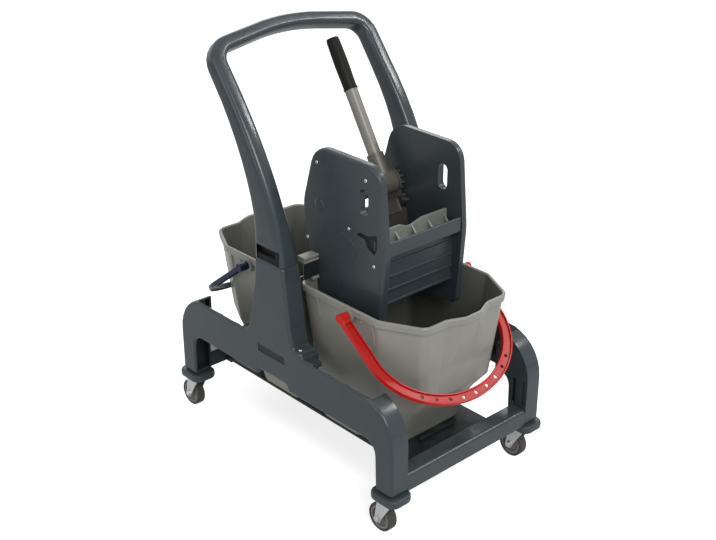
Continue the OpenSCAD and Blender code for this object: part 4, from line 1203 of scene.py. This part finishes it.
@dataclass
class Wringer(SubAssembly):
    """The wringer's cheeks, panel, comb, drain plate and hangers."""

    mouldings: tuple[Moulding, ...] = (
        ("wringer_front_panel", Coat.WRINGER, "frame_plastic", Edge()),
        ("wringer_comb", Coat.PALE, "pale_plastic", Edge()),
        ("wringer_sieve", Coat.WRINGER, "frame_plastic", Edge(0.5 * MM)),
        ("shaft_bushes", Coat.WRINGER, "pale_plastic", Edge(0.6 * MM)),
        ("jaw_pins", Coat.ZINC, "zinc", Edge(0.6 * MM)),
    )
    cheek_face: float = 112.0 * MM
    screw: PanScrew = PanScrew(3.6 * MM, 1.6 * MM, 1.8 * MM, 4.0 * MM)
    screw_turn: float = 17.0
    screw_places: tuple[Pair, ...] = (
        (20.0 * MM, 657.0 * MM),
        (157.0 * MM, 657.0 * MM),
        (110.0 * MM, 548.0 * MM),
        (180.0 * MM, 493.0 * MM),
        (-10.0 * MM, 494.0 * MM),
    )
    pad_root: float = 1.0 * MM
    pad_rise: float = 0.9 * MM
    pad_rounding: float = 0.54 * MM
    pad_smooth: float = 35.0
    pad_low: Pair = (74.0 * MM, 366.0 * MM)
    pad_high: Pair = (196.0 * MM, 535.0 * MM)
    pad_notch: Pair = (124.0 * MM, 494.0 * MM)
    pad_corner: float = 24.0 * MM
    pocket_low: Pair = (124.0 * MM, 510.0 * MM)
    pocket_high: Pair = (192.0 * MM, 562.0 * MM)
    pocket_depth: float = 5.0 * MM
    pocket_room: float = 1.5 * MM
    lip_h: float = 12.0 * MM
    lip_groove: Pair = (7.6 * MM, 4.2 * MM)
    lip_groove_d: float = 5.0 * MM
    hook_h: float = 22.5 * MM

    def build(self) -> None:
        """Makes the wringer's fixed pieces."""
        for side in ("left", "right"):
            self._cheek(side)
            self._hanger(side)
        for moulding in self.mouldings:
            self.mould(*moulding)
        self._screws()
        self._pads()

    def _cheek(self, side: str) -> None:
        """Makes a cheek with a dark floor in its pocket.

        Args:
            side: The cheek's side.
        """
        obj = self.mould(f"wringer_cheek_{side}", Coat.WRINGER, "frame_plastic")
        self.paintbox.second_tone(obj, Coat.PANEL, self._on_pocket_floor)

    def _on_pocket_floor(self, centre: Vector) -> bool:
        """Tells whether a face of a cheek lies on the floor of its pocket.

        Args:
            centre: The face's centre.

        Returns:
            True for a face on the floor.
        """
        (x0, z0), (x1, z1) = self.pocket_low, self.pocket_high
        depth = self.cheek_face - abs(centre.y)
        on_floor = abs(depth - self.pocket_depth) < self.pocket_room
        return x0 < centre.x < x1 and z0 < centre.z < z1 and on_floor

    def _hanger(self, side: str) -> None:
        """Makes a hanger whose lip is grooved along its front, with painted shade on the plate under the lip.

        Args:
            side: The cheek that carries it.
        """
        node = f"wringer_hanger_{side}"
        low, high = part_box(node)
        under, over = (high.z - depth for depth in self.lip_groove)
        groove = block(
            "lip_groove", (high.x - self.lip_groove_d, low.y - MM, under), (high.x + MM, high.y + MM, over)
        )
        obj = self.mould(node, Coat.PALE, "pale_plastic", cutter=groove)
        bottom, top = low.z + self.hook_h, high.z - self.lip_h
        # Painted shade: the plate under the lip takes the dark tone.
        self.paintbox.second_tone(obj, Coat.PANEL, lambda centre: bottom < centre.z < top)

    def _screws(self) -> None:
        """Models the screws in the cheeks, each turned a little differently."""
        model = self.screw.model()
        screws = []
        for i, (x, z) in enumerate(self.screw_places):
            for side in (-1, 1):
                turn = (-QUARTER_TURN * side, self.screw_turn * i, 0)
                screws.append(placed_copy(model, (x, side * self.cheek_face, z), turn))
        bpy.data.objects.remove(model)
        obj = join("cheek_screws_finished", screws)
        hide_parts("cheek_screws")
        self.fit(obj, "cheek_screws", Coat.ZINC, "zinc")

    def _pads(self) -> None:
        """Models the raised pads on the lower front of the cheeks, notched round the pockets."""
        inner, outer = self.pad_root - self.cheek_face, -self.cheek_face - self.pad_rise
        (x0, z0), (x1, z1), (notch_x, notch_z) = self.pad_low, self.pad_high, self.pad_notch
        pad = block("cheek_pad", (x0, outer, z0), (x1, inner, z1))
        cut(pad, block("notch", (notch_x, 2 * outer, notch_z), (BEYOND, 0.0, BEYOND)))
        for x in (x0, notch_x):
            self._round_corner(pad, x, z1)
        soften(pad, self.pad_rounding, angle=40.0)
        for side, way in (("left", 1), ("right", -1)):
            copy = placed_copy(pad, size=(1, way, 1))
            shade(copy, self.pad_smooth)
            copy.name = f"cheek_pad_{side}"
            self.fit(copy, f"wringer_cheek_{side}", Coat.WRINGER, "frame_plastic")
        bpy.data.objects.remove(pad)

    def _round_corner(self, pad: bpy.types.Object, x: float, z: float) -> None:
        """Rounds one upright corner of the pad.

        Args:
            pad: The pad.
            x: The corner's place along the trolley.
            z: The corner's height.
        """
        select_only(pad)
        bpy.context.tool_settings.mesh_select_mode = (False, True, False)
        bpy.ops.object.mode_set(mode="EDIT")
        bpy.ops.mesh.select_all(action="DESELECT")
        bpy.ops.object.mode_set(mode="OBJECT")
        for edge in pad.data.edges:
            ends = [pad.data.vertices[i].co for i in edge.vertices]
            edge.select = all(abs(end.x - x) < SAME and abs(end.z - z) < SAME for end in ends)
        bpy.ops.object.mode_set(mode="EDIT")
        bpy.ops.mesh.bevel(offset=self.pad_corner, segments=10, profile=0.5, affect="EDGES")
        bpy.ops.object.mode_set(mode="OBJECT")


@dataclass
class Press(SubAssembly):
    """The lever with its shaft and pinions, and the jaw that they drive."""

    mouldings: tuple[Moulding, ...] = (
        # The shaft here and the socket below are brownish plastic painted darker as shade.
        ("press_shaft", Coat.SHADED_DRUM, "pale_plastic", Edge(0.6 * MM)),
        # The pinions here and the jaw below are pale plastic painted darker as shade.
        ("drive_pinions", Coat.SHADED_PALE, "pale_plastic", Edge(0.4 * MM)),
        ("lever_socket", Coat.SHADED_DRUM, "pale_plastic", Edge(1.0 * MM, 3)),
        ("lever_tube", Coat.LEVER, "lever_metal", Edge(0.5 * MM)),
        ("press_jaw", Coat.SHADED_PALE, "pale_plastic", Edge()),
    )
    lean: float = math.radians(31.0)
    grip_lip: Pair = (15.2 * MM, 3.6 * MM)
    grip_rings: tuple[Pair, ...] = (
        (13.75 * MM, 3.8 * MM),
        (14.1 * MM, 24.0 * MM),
        (14.6 * MM, 48.0 * MM),
        (14.6 * MM, 66.0 * MM),
        (14.0 * MM, 90.0 * MM),
        (13.65 * MM, 103.0 * MM),
        (13.0 * MM, 107.5 * MM),
        (11.6 * MM, 109.5 * MM),
        (9.8 * MM, 110.0 * MM),
    )
    beam_low: Point = (50.0 * MM, -76.5 * MM, 519.0 * MM)
    beam_high: Point = (61.0 * MM, 76.5 * MM, 540.5 * MM)
    beam_slope: float = -13.5 * MM
    beam_border: float = 4.0 * MM
    beam_dip: float = 2.0 * MM
    beam_front: float = 0.5
    beam_rounding: float = 0.6 * MM
    beam_smooth: float = 35.0

    def build(self) -> None:
        """Makes the moving pieces of the press."""
        for moulding in self.mouldings:
            self.mould(*moulding)
        self._grip()
        self._beam()

    def _grip(self) -> None:
        """Models the smooth grip, a little fuller in its middle, with a lip round the tube."""
        radius, height = self.grip_lip
        model = disc("grip_model", radius, height, ROUND_SIDES)
        for ring_r, ring_z in self.grip_rings:
            pick(model, lambda centre, normal: points_up(centre, normal) and centre.z > height - SAME)
            bpy.ops.mesh.extrude_region_move(TRANSFORM_OT_translate={"value": (0, 0, ring_z - height)})
            scale = ring_r / radius
            bpy.ops.transform.resize(value=(scale, scale, 1.0), center_override=(0, 0, ring_z))
            radius, height = ring_r, ring_z
        low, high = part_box("lever_grip")
        sleeve_r = (high.y - low.y) / 2
        foot = (
            high.x - sleeve_r * math.cos(self.lean),
            (low.y + high.y) / 2,
            low.z + sleeve_r * math.sin(self.lean),
        )
        grip = placed_copy(model, foot, (0, -math.degrees(self.lean), 0))
        bpy.data.objects.remove(model)
        grip.name = "lever_grip_finished"
        shade(grip)
        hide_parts("lever_grip")
        self.fit(grip, "lever_grip", Coat.GRIP, "grip_rubber")

    def _beam(self) -> None:
        """Models the sloping beam along the jaw's top, with a raised border."""
        beam = block("press_jaw_beam", self.beam_low, self.beam_high)
        pick(beam, points_up)
        bpy.ops.transform.translate(value=(self.beam_slope, 0, 0))
        pick(beam, lambda centre, normal: normal.x > self.beam_front)
        bpy.ops.mesh.inset(thickness=self.beam_border, depth=-self.beam_dip)
        bpy.ops.object.mode_set(mode="OBJECT")
        soften(beam, self.beam_rounding)
        shade(beam, self.beam_smooth)
        # Like the jaw, the beam is pale plastic painted darker as shade.
        self.fit(beam, "press_jaw", Coat.SHADED_PALE, "pale_plastic")


@dataclass(frozen=True)
class PhotoCamera:
    """The camera fitted to the photograph, in the trolley's frame."""

    place: Point = (1.6015, -1.4463, 1.3950)
    back: Point = (0.6703, -0.6102, 0.4223)
    focal_px: float = 1155.17
    image_width_px: float = 716.0
    sensor_mm: float = 36.0

    def build(self) -> None:
        """Adds the camera and makes it the scene's own."""
        data = bpy.data.cameras.new("photo_camera")
        data.sensor_fit = "HORIZONTAL"
        data.sensor_width = self.sensor_mm
        data.lens = self.sensor_mm * self.focal_px / self.image_width_px
        camera = bpy.data.objects.new("photo_camera", data)
        bpy.context.scene.collection.objects.link(camera)
        camera.location = self.place
        camera.rotation_euler = (-Vector(self.back)).to_track_quat("-Z", "Y").to_euler()
        bpy.context.scene.camera = camera


@dataclass(frozen=True)
class SoftBox:
    """One large soft lamp."""

    name: str
    place: Point
    size: float
    watts: float
    target: Point = (0.0, 0.0, 0.4)

    def build(self) -> None:
        """Adds the lamp, turned to its target."""
        data = bpy.data.lights.new(self.name, "AREA")
        data.shape = "DISK"
        data.size = self.size
        data.energy = self.watts
        lamp = bpy.data.objects.new(self.name, data)
        bpy.context.scene.collection.objects.link(lamp)
        lamp.location = self.place
        lamp.rotation_euler = (Vector(self.target) - Vector(self.place)).to_track_quat("-Z", "Y").to_euler()


@dataclass(frozen=True)
class Studio:
    """White floor, pale surround and soft lamps."""

    floor_size: float = 40.0
    floor_albedo: float = 0.86
    floor_lift: float = 0.70
    floor_gleam: float = 0.08
    surround: float = 0.38
    lamps: tuple[SoftBox, ...] = (
        SoftBox("key_lamp", (3.1, -1.2, 3.0), 2.0, 94.0),
        SoftBox("fill_lamp", (-0.6, -3.6, 2.0), 2.6, 25.0),
        SoftBox("back_lamp", (-2.6, 2.4, 2.6), 2.0, 32.0),
        SoftBox("edge_lamp", (1.55, 2.25, 2.8), 0.35, 26.0),
    )

    def build(self) -> None:
        """Adds the floor, the surround and the lamps."""
        bpy.context.scene.view_settings.view_transform = "Standard"
        self._floor()
        self._surround()
        for lamp in self.lamps:
            lamp.build()

    def _floor(self) -> None:
        """Adds the floor, which keeps the trolley's shadow and is lifted to white for the camera."""
        select_none()
        bpy.ops.mesh.primitive_plane_add(size=self.floor_size, location=(0, 0, 0))
        floor = bpy.context.object
        floor.name = "floor"
        material = bpy.data.materials.new("floor_white")
        material.use_nodes = True
        tree = material.node_tree
        tree.nodes.remove(tree.nodes["Principled BSDF"])
        diffuse = tree.nodes.new("ShaderNodeBsdfDiffuse")
        diffuse.inputs["Color"].default_value = (self.floor_albedo,) * 3 + (1.0,)
        lift = tree.nodes.new("ShaderNodeEmission")
        straight = tree.nodes.new("ShaderNodeMath")
        straight.operation = "MULTIPLY"
        straight.inputs[1].default_value = self.floor_lift - self.floor_gleam
        rays = tree.nodes.new("ShaderNodeLightPath")
        tree.links.new(rays.outputs["Is Camera Ray"], straight.inputs[0])
        strength = tree.nodes.new("ShaderNodeMath")
        strength.operation = "MULTIPLY_ADD"
        strength.inputs[1].default_value = self.floor_gleam
        tree.links.new(self._seen(tree), strength.inputs[0])
        tree.links.new(straight.outputs[0], strength.inputs[2])
        tree.links.new(strength.outputs[0], lift.inputs["Strength"])
        total = tree.nodes.new("ShaderNodeAddShader")
        tree.links.new(diffuse.outputs[0], total.inputs[0])
        tree.links.new(lift.outputs[0], total.inputs[1])
        tree.links.new(total.outputs[0], tree.nodes["Material Output"].inputs["Surface"])
        floor.data.materials.append(material)

    def _surround(self) -> None:
        """Sets the surround: plain light, and white where it is seen."""
        world = bpy.data.worlds.new("studio_surround")
        bpy.context.scene.world = world
        world.use_nodes = True
        tree = world.node_tree
        background = tree.nodes["Background"]
        background.inputs["Color"].default_value = (1.0, 1.0, 1.0, 1.0)
        level = tree.nodes.new("ShaderNodeMapRange")
        level.inputs["To Min"].default_value = self.surround
        level.inputs["To Max"].default_value = 1.0
        tree.links.new(self._seen(tree), level.inputs["Value"])
        tree.links.new(level.outputs["Result"], background.inputs["Strength"])

    @staticmethod
    def _seen(tree: bpy.types.NodeTree) -> bpy.types.NodeSocket:
        """Tells rays that show the background, straight or mirrored, from rays that light the trolley.

        Args:
            tree: The tree to add the test to.

        Returns:
            A socket that is 1 for camera, glossy and transmission rays.
        """
        rays = tree.nodes.new("ShaderNodeLightPath")
        seen = rays.outputs["Is Camera Ray"]
        for name in ("Is Glossy Ray", "Is Transmission Ray"):
            either = tree.nodes.new("ShaderNodeMath")
            either.operation = "MAXIMUM"
            tree.links.new(seen, either.inputs[0])
            tree.links.new(rays.outputs[name], either.inputs[1])
            seen = either.outputs[0]
        return seen


def main() -> None:
    """Builds the trolley's looks, the studio and the camera."""
    logging.basicConfig(level=logging.INFO, format="%(message)s")
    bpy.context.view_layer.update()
    paintbox = Paintbox()
    for part in (Chassis(paintbox), Castors(paintbox), Buckets(paintbox), Wringer(paintbox), Press(paintbox)):
        part.build()
    Studio().build()
    PhotoCamera().build()


if __name__ == "__main__":
    main()
